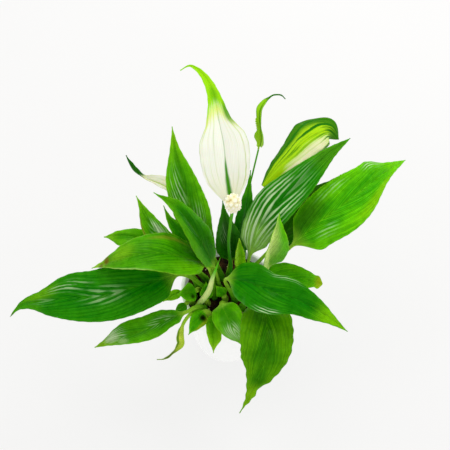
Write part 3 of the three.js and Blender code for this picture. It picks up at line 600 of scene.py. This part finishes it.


# Paints a blade: the midrib's green turns into the margin's, with soft blotches and bands between
#  the veins. The tip has its own green, and the rim and a thin line on the midrib share one. The matt
#  underside is paler, and the stalk turns from its first green at the soil to its second under the
#  blade. Its spots are patches of colour, some of them painted highlights and painted shade. The fourth
#  number is how strongly painted highlights, pale streaks, show on top: the strongest of its sheens.
def bladeTones(at, leaf, seed):
    inner, outer, rim, tip = [linear(colour) for colour in greens[leaf["looks"]]]
    paint = leafPaint
    share, v = at["share"], at["v"]
    clouds = blotches(at["run"], at["y"] * 1.6, paint["blotch"], seed)
    bands = blotches(3 * at["vein"], share * 4, 3, seed + 1)
    outward = smooth(0.05, 0.95, np.abs(v)) + paint["blotched"] * clouds + paint["banded"] * bands
    colour = mix(inner, outer, np.clip(outward, 0, 1))
    colour = mix(colour, tip, smooth(paint["tipStart"], 1.0, share + 0.05 * clouds))
    colour = mix(colour, linear(paint["under"]), paint["underShare"] * at["under"])
    colour = spotted(colour, at, leaf.get("spots", ()))
    sheenAmount = np.zeros_like(share)
    for where, aside, spread, width, amount in leaf.get("paintedSheens", ()):
        sheenAmount = np.maximum(sheenAmount, amount * spot(share, v, where, aside, spread, width) * (share > 0))
    rims = np.exp(-(at["edge"] / paint["rimWidth"]) ** 2) * smooth(0.02, 0.2, share)
    colour = mix(colour, rim, paint["rim"] * rims)
    colour = mix(colour, rim, paint["rib"] * np.exp(-(at["y"] / paint["ribWidth"]) ** 2) * (1 - share))
    low, high = [linear(colour) for colour in paint["stalk"]]
    along = smooth(0.1, 0.8, at["at"] / max(0.6 * at["at"].max(), 0.01))
    colour = mix(mix(low, high, along), colour, at["blade"])
    return np.concatenate([colour, (sheenAmount * (1 - at["under"]))[..., None]], -1)


# Small blades get fewer points. The streaks of each blade start at another place of the noise.
leafMaterial = leafSkin("Waxy leaf blade", leafFinish)
smallBlade = 62
noiseStep = 170
for number, (name, leaf) in enumerate(leaves.items()):
    shape = leafShape | leaf
    before = [(*leaf["foot"], z) for z in footHeights] + list(shape["stalk"])
    curve = curveThrough(before + leaf["blade"])
    start = curve["knots"][len(before)]
    small = curve["lengths"][-1] * (1 - start) < smallBlade
    steps, across, stalkSteps = (80, 33, 26) if small else (150, 49, 40)
    rings, at = bladeRings(curve, shape, steps, across, start, stalkSteps)
    along = at["run"] / shape["streakLength"] + noiseStep * number
    lay = np.stack([at["vein"], along, at["blade"]], -1)
    dress(ringMesh(name + "_skin", rings, bladeTones(at, leaf, 20 + number), lay), leafMaterial, name)
print("stage: leaves grown,", len(leaves))


# Rings round a curve: each point lies away from it by a radius given for its share of the length
# and its turn, where the right side of an upright stem has turn 0 and its front a quarter turn.
def tubeRings(curve, shares, sides, radius):
    place, along = alongCurve(curve, shares)
    side = np.cross(along, np.array([0.0, -1.0, 0.0]))
    side /= np.linalg.norm(side, axis=1, keepdims=True)
    rise = np.cross(side, along)
    turn = np.linspace(0, 2 * np.pi, sides, endpoint=False)[None, :]
    r = radius(np.asarray(shares)[:, None], turn)[..., None]
    outward = np.cos(turn)[..., None] * side[:, None] + np.sin(turn)[..., None] * rise[:, None]
    return place[:, None] + r * outward, turn


# Smooth juicy stem: a satin skin with faint ridges along it, paler towards the flower.
stem = dict(
    ribs=9, ribHeight=0.05, taper=0.12, foot="#2C8C00", top="#60B40C", shadow="#1E7000",
    squeeze=0.12, grain=0.9, value=(0.88, 1.1), rough=(0.35, 0.5), bump=0.25,
    shading={"IOR": 1.42, "Specular IOR Level": 0.35, "Subsurface Weight": 0.1, "Subsurface Scale": 0.002})
stemMaterial = fleshSkin("Juicy stem skin", stem)

shoot = dict(
    foot=(-28, -16), radius=2.7, path=[(-23, -16, 100), (-17, -15, 116), (-13.5, -11.5, 133), (-7, -2, 151)],
    low="#B4DC50", middle="#E4F898", tip="#5CC400", fold="#84B838", seam=0.105, seamTurn=5.5, seamStart=2.2)
curve = curveThrough([(*shoot["foot"], z) for z in footHeights] + shoot["path"])
shares = np.linspace(0, 1, 140)


# How far a turn is from the edge of the rolled blade, which winds once round the shoot.
def fromSeam(share, turn):
    return np.angle(np.exp(1j * (turn - shoot["seamStart"] - shoot["seamTurn"] * share)))


# The shoot: radius * (0.35 + 0.65 sin(pi * share ^ 0.8)) * (1 - share ^ 6). The skin rises towards
# the edge of the rolled blade by the share seam, and drops in a narrow furrow at it.
def shootRadius(share, turn):
    swell = 0.35 + 0.65 * np.sin(np.pi * share ** 0.8)
    away = fromSeam(share, turn)
    edge = smooth(-0.5, 0, away) * (away < 0) - 0.3 * np.exp(-(away / 0.25) ** 2)
    return np.maximum(shoot["radius"] * swell * (1 - share ** 6), 0.25) * (1 + shoot["seam"] * edge)


rings, turn = tubeRings(curve, shares, 40, shootRadius)
share = np.broadcast_to(shares[:, None], rings.shape[:2])
tone = mix(mix(linear(shoot["low"]), linear(shoot["middle"]), smooth(0.1, 0.45, share)),
           linear(shoot["tip"]), smooth(0.68, 0.86, share))
tone = mix(tone, linear(shoot["fold"]), 0.6 * np.exp(-(fromSeam(share, turn) / 0.18) ** 2))
dress(ringMesh("shoot_rolled_skin", rings, tone), stemMaterial, "shoot_rolled")

# stem: from the soil to its top. spathe: the midrib of its one large petal. spadix: the line of
# its flower spike. petal: how its petal is coloured.
flowers = {
    "flower_main": dict(
        foot=(2, 7), stemRadius=1.4, stem=[(2, 7, 120), (0, 5, 160), (1, -2, 200), (3, -10, 242)],
        spathe=[(2, -7, 239), (-2, 9.5, 261), (-4, 24, 275), (-8, 40, 286), (-10, 51, 290), (-14, 63, 294),
                (-21, 75, 296), (-30, 83, 295), (-37, 81, 292)],
        outline=spatheOutline, width=37, face=(0, -0.53, 0.85), fold=0.35, arch=0.15, petal="white",
        spadix=[(3.1, -10.3, 242.8), (3, -13.5, 252), (2.5, -17.5, 263)], spadixRadius=4.7),
    "flower_green": dict(
        foot=(7, 22), stemRadius=0.8, stem=[(9, 30, 130), (17, 52, 170), (25, 72, 204)],
        spathe=[(27, 75, 205), (27.5, 77, 212), (27, 79, 219), (26, 81, 226), (25.5, 85, 231), (26, 89, 235),
                (28.5, 94, 237), (33, 99, 238), (38, 103, 238), (44, 103, 237), (47, 101, 235)],
        outline=budOutline, width=11.5, face=(-0.6, -0.3, 0.7), fold=0.5, arch=0, petal="green",
        spadix=[(25.1, 73.4, 203.2), (26, 82, 204.5), (25.5, 87, 213), (23.5, 90.5, 224)], spadixRadius=1.9),
    "flower_slim": dict(
        foot=(-13, 18), stemRadius=1.2, stem=[(-19, 27, 120), (-36, 44, 145), (-48, 56, 165)],
        spathe=[(-50, 57.5, 165), (-57, 58, 172), (-65, 57.5, 179), (-73, 57, 186.5), (-81, 60.5, 194.5),
                (-86, 67, 203)],
        outline=slimOutline, width=15, face=(0.5, 0.1, 0.8), fold=0.5, arch=0, petal="cream",
        spadix=[(-48.2, 56.3, 165.7), (-47, 58, 178), (-47, 60, 190)], spadixRadius=2.2),
    "flower_striped": dict(
        foot=(14, 24), stemRadius=1.3, stem=[(16, 30, 130), (22, 39, 160), (29, 48, 174)],
        spathe=[(29, 53, 178), (42, 66, 187), (59, 81, 193), (74, 94, 195), (87, 103, 190), (97, 102, 179)],
        outline=cupOutline, width=29, face=(-0.2, -0.3, 0.9), fold=0.1, arch=0.35, wave=1.2, edgeRipple=0.5,
        bumps=[(-1, 0.71, 0.22, 5.6)], petal="striped",
        spadix=[(29.8, 48.8, 174.3), (42, 60, 177), (53, 71, 177)], spadixRadius=2.6),
}
petalShape = leafShape | dict(keel=0.5, pleat=0, edgeRipple=0.2, edgeWaver=0.1)

# low and body: the petal at its base and above. lines: (place, amount) of thin lines, with places
# between the midrib, 0, and an edge, 1 or -1. stripe: along the midrib, its half width at the base
# and above. margin: the rim. end: the tip, which starts at endFrom and runs back along the lines by
# bleed, behind a band of the colour halo. spots: as on a leaf.
petals = {
    "white": dict(
        body="#F6F8EC", low="#F2F4DC", margin="#9CC81C", line="#ACC834",
        lines=((-0.9, 0.6), (-0.64, 0.3), (-0.4, 0.5), (0.3, 0.25), (0.5, 0.45), (0.8, 0.9)),
        stripe="#3C9400", stripeWidth=(1.9, 0.3), stripeEnd=0.33, end="#98DC00", endFrom=0.62, bleed=0.16,
        halo="#D4E800",
        spots=((0.55, 0.9, 0.07, 0.35, "#3C8C08", 0.8), (0.68, 0, 0.05, 0.6, "#4CA800", 0.5))),
    "green": dict(
        body="#8CC80C", low="#9CCC20", margin="#62A008", line="#6CA80C", lines=(), stripe="#4C8C06",
        stripeWidth=(0.5, 0.4), stripeEnd=0.7, end="#2E7804", endFrom=0.72, bleed=0.1, halo="#8CC80C",
        spots=()),
    "cream": dict(
        body="#EFEDDD", low="#E6E2C0", margin="#D0DA90", line="#D2D89E", lines=((-0.5, 0.7), (0.5, 0.7)),
        stripe="#C6D680", stripeWidth=(0.8, 0.3), stripeEnd=0.5, end="#1A6A04", endFrom=0.6, bleed=0.1,
        halo="#D2D89E", spots=()),
    "striped": dict(
        body="#ECEAC0", low="#C0D860", margin="#187200", line="#A4D400", stripe="#2C8400",
        ribTurns=(3.1, 5.3, 8.9), ribAmounts=(1, 0.7, 0.6)),
}


# Paints the striped petal: green ribs, as three sine waves across it are added, on a yellow-lime
# ground that is cream in its middle and turns green towards its upper edge and its end.
def stripedTones(at, petal, shades):
    share, v = at["share"], at["v"]
    bend = 0.06 * blotches(share * 60, v * 14, 20, 8) + 0.25 * share
    starts = (0, 1.3 + 2 * share, 5 * share)
    ribs = sum(amount * np.sin(2 * np.pi * (v + bend) * turns + start)
               for turns, amount, start in zip(petal["ribTurns"], petal["ribAmounts"], starts))
    streaks = smooth(-0.1, 1.3, ribs + 0.8 * blotches(share * 90, v * 60, 26, 12))
    lime = smooth(0.5, -0.1, v + 2 * bend - 0.45) + smooth(0.62, 0.9, share) + smooth(0.35, 0.12, share)
    ribbed = 0.9 * streaks * smooth(0.75, 0, v + bend) * smooth(0.1, 0.5, share)
    green = smooth(0.35, 0.7, -v + 0.3 * streaks) + smooth(0.76, 0.95, share + 0.14 * streaks)
    green = np.clip(green + smooth(0.85, 1, v), 0, 1) * (0.9 + 0.1 * streaks)
    colour = mix(shades["low"], shades["body"], smooth(0.0, 0.25, share))
    colour = mix(colour, shades["line"], np.clip(lime + 0.35 * streaks, 0, 1))
    return mix(mix(colour, shades["stripe"], ribbed), shades["margin"], green)


# What the petals share: widths of lines in millimetres, shares of the length and amounts of colour.
petalPaint = dict(rimWidth=0.45, rim=0.85, lineWidth=0.35, lineWaver=0.03, lineShown=0.6, stripeFade=0.22,
                  stripeUneven=0.15, thinStripe=0.6, halo=0.7, haloWidth=0.05)


# Paints a petal as its dictionary says. A line or the rim is amount * exp(-(distance / width) ^ 2).
def petalTones(at, petal):
    shades = {key: linear(value) for key, value in petal.items() if isinstance(value, str)}
    if "ribTurns" in petal:
        return stripedTones(at, petal, shades)
    paint = petalPaint
    share, v, y = at["share"], at["v"], at["y"]
    colour = mix(shades["low"], shades["body"], smooth(0.0, 0.25, share))
    rims = np.exp(-(at["edge"] / paint["rimWidth"]) ** 2) * smooth(0.18, 0.4, share)
    colour = mix(colour, shades["margin"], paint["rim"] * rims)
    waver = paint["lineWaver"] * np.sin(share * 9 + 4 * v)
    near = np.zeros_like(share)
    for line, amount in petal["lines"]:
        away = (v + waver * (1 + line) - line) * at["w"]
        near = np.maximum(near, amount * np.exp(-(away / paint["lineWidth"]) ** 2))
    broken = np.clip(paint["lineShown"] * (1 + blotches(share * 90, v * 12, 22, 5)), 0, 1)
    colour = mix(colour, shades["line"], broken * near * smooth(0.02, 0.2, share))
    base, above = petal["stripeWidth"]
    wedge = smooth(petal["stripeEnd"], petal["stripeEnd"] - paint["stripeFade"], share)
    stripe = mixNumbers(above, base, wedge) * (1 + paint["stripeUneven"] * blotches(share * 90, y, 9, 6))
    stripe = np.exp(-(y / stripe) ** 4) * mixNumbers(paint["thinStripe"], 1, smooth(0, 0.1, wedge))
    colour = mix(colour, shades["stripe"], stripe)
    back = 0.5 * near + 0.4 * np.abs(v) ** 3 + 0.2 * smooth(0.2, 0.9, v)
    past = share + petal["bleed"] * back - petal["endFrom"]
    colour = mix(colour, shades["halo"], paint["halo"] * np.exp(-((past + 0.03) / paint["haloWidth"]) ** 2))
    return spotted(mix(colour, shades["end"], smooth(-0.05, 0.05, past)), at, petal["spots"])


# Rings round the upright axis from a profile of (radius, height).
def turned(profile, sides):
    turn = np.linspace(0, 2 * np.pi, sides, endpoint=False)
    r, z = np.array(profile).T
    return np.stack([r[:, None] * np.cos(turn), r[:, None] * np.sin(turn),
                     np.broadcast_to(z[:, None], (len(r), sides))], -1)


# A spike of florets: a body with a narrow neck and a half round end, and florets on it. A thin
#  spike has lower florets in the ratio of its radius to fullRadius. Crowded florets are matt and a
#  little fleshy; their colour is painted darker in the creases, as shade, and paler on the knob tops,
#  as a highlight.
spike = dict(
    height=1.0, fullRadius=4, neck=0.4, neckEnd=0.12, roundFrom=0.78, roundPower=2.4, sunk=0.6, spacing=0.62,
    cushion=0.62, knob=1.3, knobWidth=0.3, uneven=0.3, rings=120, sides=120,
    ripe=("#D8C47C", "#F6EFC0", "#FDFAE6"), young=("#5E9A0C", "#9CD010", "#B0DC28"),
    squeeze=1, grain=0.5, value=(0.9, 1.06), rough=(0.6, 0.75), bump=0.4,
    shading={"IOR": 1.4, "Specular IOR Level": 0.25, "Subsurface Weight": 0.06, "Subsurface Scale": 0.001})


# Rings over a spike. Floret k has its share of the body's area and is turned by k golden angles.
# The skin rises by height * (1 - (d / cushion)^2 + knob * exp(-(d / knobWidth)^2)), where d is the
# distance to the nearest floret over the spacing of florets.
def spikeRings(curve, radius):
    share = np.linspace(0, 1, spike["rings"])
    neck = smooth(spike["neckEnd"] / 2, spike["neckEnd"], share)
    past = np.clip((share - spike["roundFrom"]) / (1 - spike["roundFrom"]), 0, 1)
    body = radius * np.sqrt(np.maximum(1 - past ** spike["roundPower"], 0.006))
    body = np.maximum(body - spike["sunk"] * spike["height"], 0.3)
    body = mixNumbers(spike["neck"] * radius, body, neck)
    run = share * curve["lengths"][-1]
    strips = np.hypot(np.diff(body), np.diff(run)) * np.pi * (body[1:] + body[:-1])
    area = np.concatenate([[0], np.cumsum(strips)])
    spacing = spike["spacing"] * radius
    k = np.arange(int(area[-1] / spacing ** 2))
    place = np.interp((k + 0.5) / len(k) * area[-1], area, run)
    goldenTurn = np.pi * (3 - np.sqrt(5)) * k
    reach = np.interp(place, run, body)
    florets = np.stack([reach * np.cos(goldenTurn), reach * np.sin(goldenTurn), place], -1)
    skin = turned(np.stack([body, run], -1), spike["sides"])
    away = np.linalg.norm(skin[:, :, None] - florets, axis=-1)
    knob = spike["knob"] * (1 + spike["uneven"] * np.sin(2.4 * np.argmin(away, axis=-1)))
    d = np.min(away, axis=-1) / spacing
    cushion = np.maximum(1 - (d / spike["cushion"]) ** 2, 0) + knob * np.exp(-(d / spike["knobWidth"]) ** 2)
    fade = (neck * smooth(1, 0.99, share))[:, None]
    height = spike["height"] * min(1, radius / spike["fullRadius"]) * cushion * fade
    rings, _ = tubeRings(curve, share, spike["sides"], lambda s, t: body[:, None] + height)
    return rings, cushion


petalMaterial = spatheSkin("Satin spathe flesh", petalFinish)
spikeMaterial = fleshSkin("Spadix of small florets", spike)
for name, flower in flowers.items():
    curve = curveThrough([(*flower["foot"], z) for z in footHeights] + flower["stem"])
    shares = np.linspace(0, 1, 90)
    rings, turn = tubeRings(curve, shares, 36, lambda share, turn: flower["stemRadius"] * (
        1 + stem["ribHeight"] * np.cos(stem["ribs"] * turn) - stem["taper"] * share))
    share = np.broadcast_to(shares[:, None], rings.shape[:2])
    tone = mix(linear(stem["foot"]), linear(stem["top"]), smooth(0.3, 1, share))
    tone = mix(tone, linear(stem["shadow"]), 0.35 * (0.5 - 0.5 * np.cos(stem["ribs"] * turn)))
    dress(ringMesh(name + "_stem_skin", rings, tone), stemMaterial, name + "_stem")

    curve = curveThrough(flower["spathe"])
    rings, at = bladeRings(curve, petalShape | flower, 190, 65)
    lay = np.stack([at["v"] * flower["width"] / 2, at["run"], at["blade"]], -1)
    tone = petalTones(at, petals[flower["petal"]])
    dress(ringMesh(name + "_spathe_skin", rings, tone, lay), petalMaterial, name + "_spathe")

    rings, cushion = spikeRings(curveThrough(flower["spadix"]), flower["spadixRadius"])
    # Painted shade in the creases between florets, and a painted highlight on the knob tops.
    creaseShade, skin, top = map(linear, spike["young" if flower["petal"] == "green" else "ripe"])
    tone = mix(mix(creaseShade, skin, smooth(0.05, 0.6, cushion)), top, smooth(1.0, 1.6, cushion))
    dress(ringMesh(name + "_spadix_skin", rings, tone), spikeMaterial, name + "_spadix")
print("stage: flowers opened,", len(flowers))

pot = dict(height=95, rim=43, foot=33, wall=3.6, floor=6, footRound=2.5, sides=144, glaze="#F9F9F7",
           clay="#E4DED2", glow=0.1, flow=12, speck=1.2, speckHeight=0.06, rough=(0.1, 0.18),
           bareBelow=(1.2, 0.6), bareRough=0.6)


# Points on an arc, evenly turned from start to end: centre + radius * (cos, sin).
def arc(centre, radius, start, end, count):
    turn = np.radians(np.linspace(start, end, count))
    return [(centre[0] + radius * np.cos(t), centre[1] + radius * np.sin(t)) for t in turn]


# Points on a straight line, at shares from first to last of the way from a to b: a + (b - a) * share.
def line(a, b, first, last, count):
    return [(mixNumbers(a[0], b[0], t), mixNumbers(a[1], b[1], t)) for t in np.linspace(first, last, count)]


# Under the foot, up the outside, over the lip and down the inside. It ends just off the axis.
lip = pot["wall"] / 2
lipBase = pot["height"] - lip
innerFoot = pot["foot"] - pot["wall"]
profile = [(0.3, 0), (12, 0), (24, 0)]
profile += arc((pot["foot"] - pot["footRound"], pot["footRound"]), pot["footRound"], -90, 0, 9)
profile += line((pot["foot"], pot["footRound"]), (pot["rim"], lipBase), 0.05, 0.97, 16)
profile += arc((pot["rim"] - lip, lipBase), lip, 0, 180, 15)
profile += line((pot["rim"] - pot["wall"], lipBase), (innerFoot, pot["floor"]), 0.04, 1, 12)
profile += [(15, pot["floor"]), (0.3, pot["floor"])]
rings = turned(profile, pot["sides"])


# White glazed earthenware: a glossy clear layer over bright white, a little wavy from the kiln,
# with bare clay on the foot ring where it stood in the kiln. It glows faintly, as the overexposed
# white does in the photograph.
def glaze(name, finish):
    material, add, shader = newMaterial(name, {
        "IOR": 1.5, "Specular IOR Level": 0.5, "Coat Weight": 0.6, "Coat Roughness": 0.05,
        "Emission Color": (1, 1, 1, 1), "Emission Strength": finish["glow"]})
    place = add("TexCoord").outputs["Object"]
    height = add("SeparateXYZ", {0: place}).outputs["Z"]
    bare = add("MapRange", {0: height, inRange: np.array(finish["bareBelow"]) * mm}, **soft)
    flow = add("TexNoise", {"Vector": place, "Scale": 1 / (finish["flow"] * mm), "Detail": 3})
    speck = add("TexNoise", {"Vector": place, "Scale": 1 / (finish["speck"] * mm), "Detail": 2})
    white = linear(finish["glaze"])
    low, high = (*(white * (0.95, 0.955, 0.96)), 1), (*white, 1)
    tint = add("Mix", {0: flow, 6: low, 7: high}, **blend)
    colour = add("Mix", {0: bare, 6: tint.outputs[2], 7: opaque(finish["clay"])}, **blend)
    rough = add("MapRange", {0: flow, outRange: finish["rough"]} | noiseSpan)
    rougher = add("Math", {0: bare, 1: finish["bareRough"], 2: rough}, **plusTimes)
    uneven = add("Math", {0: speck, 1: finish["speckHeight"], 2: flow}, **plusTimes)
    bump = add("Bump", {"Strength": 0.25, "Distance": 0.6 * mm, "Height": uneven})
    setInputs(shader, {"Base Color": colour.outputs[2], "Roughness": rougher, "Normal": bump})
    return material


white = np.broadcast_to(linear(pot["glaze"]), rings.shape)
dress(ringMesh("pot_glazed", rings, white), glaze("White glazed earthenware", pot), "pot")
print("stage: pot glazed")

# lumps: (size, height) of three layers of them.
soil = dict(edge=38.2, bottom=6.4, swell=0.8, lumps=((9, 0.6), (4, 0.5), (1.8, 0.28)), dimple=1.4,
            dimpleWidth=2.6, crumbs=650, flecks=0.05, grit=1.1, value=(0.45, 1.5), rough=(0.8, 0.98),
            dark="#16100A", warm="#422A16", fleck="#C9B796")
feet = np.array([leaf["foot"] for leaf in leaves.values()] + [flower["foot"] for flower in flowers.values()]
                + [shoot["foot"]], float)


# Height of the soil: a broad swell, lumps of three sizes, and a dimple round each stem, which is
# dimple * exp(-(distance / dimpleWidth) ^ 4) deep.
def soilHeight(x, y):
    z = soilTop + soil["swell"] * (np.sin(x / 5) * np.cos(y / 4) + np.sin((x + y) / 7)) / 2
    for seed, (size, height) in enumerate(soil["lumps"]):
        z = z + height * blotches(x, y, size, 70 + seed)
    near = np.min(np.hypot(x[..., None] - feet[:, 0], y[..., None] - feet[:, 1]), axis=-1)
    return z - soil["dimple"] * np.exp(-(near / soil["dimpleWidth"]) ** 4)


below = [(0.5, soil["bottom"]), (innerFoot - 0.8, soil["bottom"]), (soil["edge"] - 1.5, soilTop - 6),
         (soil["edge"], soilTop)]
rings = turned(below + line((soil["edge"] - 0.4, soilTop), (0.4, soilTop), 0, 1, 70), 220)
upper = slice(len(below) - 1, None)
fade = smooth(soil["edge"] + 0.1, soil["edge"] - 4, np.hypot(rings[upper, :, 0], rings[upper, :, 1]))
rings[upper, :, 2] = mixNumbers(soilTop, soilHeight(rings[upper, :, 0], rings[upper, :, 1]), fade)


# Potting soil: crumbs of dark peat and bark, matt, a little warmer where they are dry.
def peat(name, finish):
    material, add, shader = newMaterial(name, {"Specular IOR Level": 0.15})
    tone = add("Attribute", attribute_name="tone")
    place = add("TexCoord").outputs["Object"]
    scale = 1 / (finish["grit"] * mm)
    grit = add("TexNoise", {"Vector": place, "Scale": scale, "Detail": 5, "Roughness": 0.65})
    cells = add("TexVoronoi", {"Vector": place, "Scale": scale / 2})
    value, rough = [add("MapRange", {0: grit, outRange: finish[key]} | noiseSpan)
                    for key in ("value", "rough")]
    varied = add("HueSaturation", {"Value": value, "Color": tone})
    bump = add("Bump", {"Strength": 0.7, "Distance": 0.6 * mm, "Height": cells})
    bump = add("Bump", {"Strength": 0.8, "Distance": 0.4 * mm, "Height": grit, "Normal": bump})
    setInputs(shader, {"Base Color": varied, "Roughness": rough, "Normal": bump})
    return material


peatMaterial = peat("Potting soil", soil)
dark, warm = linear(soil["dark"]), linear(soil["warm"])
damp = smooth(-0.8, 0.8, blotches(rings[..., 0], rings[..., 1], 11, 90))
dress(ringMesh("soil_surface", rings, mix(dark, warm, damp)), peatMaterial, "soil")

# Crumbs: a lump of three rings of six points, stretched, turned and scattered over the soil by
# seeded numbers. One in twenty is a pale fleck of bark or grit.
rng = np.random.default_rng(5)
count = soil["crumbs"]
tilt, turn = np.meshgrid(np.radians([-45, 0, 45]), np.radians(np.arange(0, 360, 60)), indexing="ij")
lump = np.stack([np.cos(tilt) * np.cos(turn), np.cos(tilt) * np.sin(turn), np.sin(tilt)], -1).reshape(-1, 3)
lump = np.concatenate([lump, [(0, 0, -1), (0, 0, 1)]])
corners = len(lump)
reach = (soil["edge"] - 1.5) * np.sqrt(rng.uniform(0, 1, count))
around = rng.uniform(0, 2 * np.pi, count)
x, y = reach * np.cos(around), reach * np.sin(around)
sizes = rng.uniform(0.35, 1.0, (count, 1, 1)) * rng.uniform(0.6, 1.5, (count, 1, 3))
turns = np.linalg.qr(rng.normal(size=(count, 3, 3)))[0]
turns *= np.sign(np.linalg.det(turns))[:, None, None]
points = np.einsum("nij,nkj->nki", turns, lump * sizes * rng.uniform(0.8, 1.2, (count, corners, 1)))
points += np.stack([x, y, soilHeight(x, y) + 0.2], -1)[:, None]
quads, fans = ringFaces(3, 6)
steps = (corners * np.arange(count))[:, None, None]
faces = (quads + steps).reshape(-1, 4).tolist() + (fans + steps).reshape(-1, 3).tolist()
shade = mix(dark, warm, rng.uniform(0, 1.3, count))
shade = mix(shade, linear(soil["fleck"]), rng.uniform(0, 1, count) < soil["flecks"])
tone = np.repeat(shade, corners, axis=0)
crumbs = meshPiece("soil_crumbs", points.reshape(-1, 3) * mm, faces, tone, np.zeros((corners * count, 3)))
dress(crumbs, peatMaterial, "soil")
print("stage: soil filled in")

# The table shines a little by itself, as in an overexposed photograph, so that shadows stay faint.
table = dict(size=3.0, glow=0.76, shade="#6C6B69", evenness=(0.94, 1.06))
material, add, shader = newMaterial("Matt white table", {
    "Specular IOR Level": 0.1, "Roughness": 0.6, "Emission Color": (1, 1, 1, 1),
    "Emission Strength": table["glow"]})
grain = add("TexNoise", {"Vector": add("TexCoord").outputs["Object"], "Scale": 3.0})
low, high = [(*(linear(table["shade"]) * k), 1) for k in table["evenness"]]
setInputs(shader, {"Base Color": add("Mix", {0: grain, 6: low, 7: high}, **blend).outputs[2]})
half = table["size"] / 2
mesh = bpy.data.meshes.new("table")
mesh.from_pydata([(-half, -half, 0), (half, -half, 0), (half, half, 0), (-half, half, 0)], [], [(0, 1, 2, 3)])
floor = newObject("table", mesh)
floor.data.materials.append(material)

# A broad lamp behind to the right, a smaller one overhead that alone is mirrored in the wax, and a
# large weak one far in front that keeps the pot as white as the table. The camera sees none of them.
lights = dict(
    broad=dict(place=(0.45, 0.75, 1.35), size=1.0, watts=18, mirrored=False),
    window=dict(place=(-0.35, 0.4, 1.3), size=0.5, watts=2.5, mirrored=True),
    fill=dict(place=(-0.1, -3.2, 0.5), size=2.4, watts=72, mirrored=False),
)
litPoint = np.array([0, 0, 0.15])
for name, light in lights.items():
    lamp = bpy.data.lights.new(name, "AREA")
    lamp.size, lamp.energy = light["size"], light["watts"]
    holder = newObject(name, lamp)
    holder.location = light["place"]
    holder.visible_glossy, holder.visible_camera = light["mirrored"], False
    x, y, z = litPoint - light["place"]
    holder.rotation_euler = (np.arctan2(np.hypot(x, y), -z), 0, np.arctan2(x, -y))

# The room lights all sides evenly, but glossy skins mirror it dimly, as they would a dark studio.
room = dict(light=0.9, mirrored=0.04)
world = bpy.data.worlds.new("Soft white room")
world.use_nodes = True
mirrored = addNode(world.node_tree, "LightPath").outputs["Is Glossy Ray"]
strength = addNode(world.node_tree, "MapRange", {0: mirrored, outRange: (room["light"], room["mirrored"])})
setInputs(world.node_tree.nodes["Background"], {"Color": (1, 1, 1, 1), "Strength": strength})
bpy.context.scene.world = world
bpy.context.scene.view_settings.view_transform = "Standard"

# The photograph looks down from about 58 degrees, from 0.7 m away.
view = dict(target=(-0.003, 0, 0.2), distance=0.7, elevation=58, lens=70, sensor=36)
camera = bpy.data.cameras.new("camera")
camera.lens, camera.sensor_width = view["lens"], view["sensor"]
holder = newObject("camera", camera)
lift = np.radians(view["elevation"])
holder.location = np.array(view["target"]) + view["distance"] * np.array([0, -np.cos(lift), np.sin(lift)])
holder.rotation_euler = (np.pi / 2 - lift, 0, 0)
bpy.context.scene.camera = holder
print("stage: table, lights and camera set")
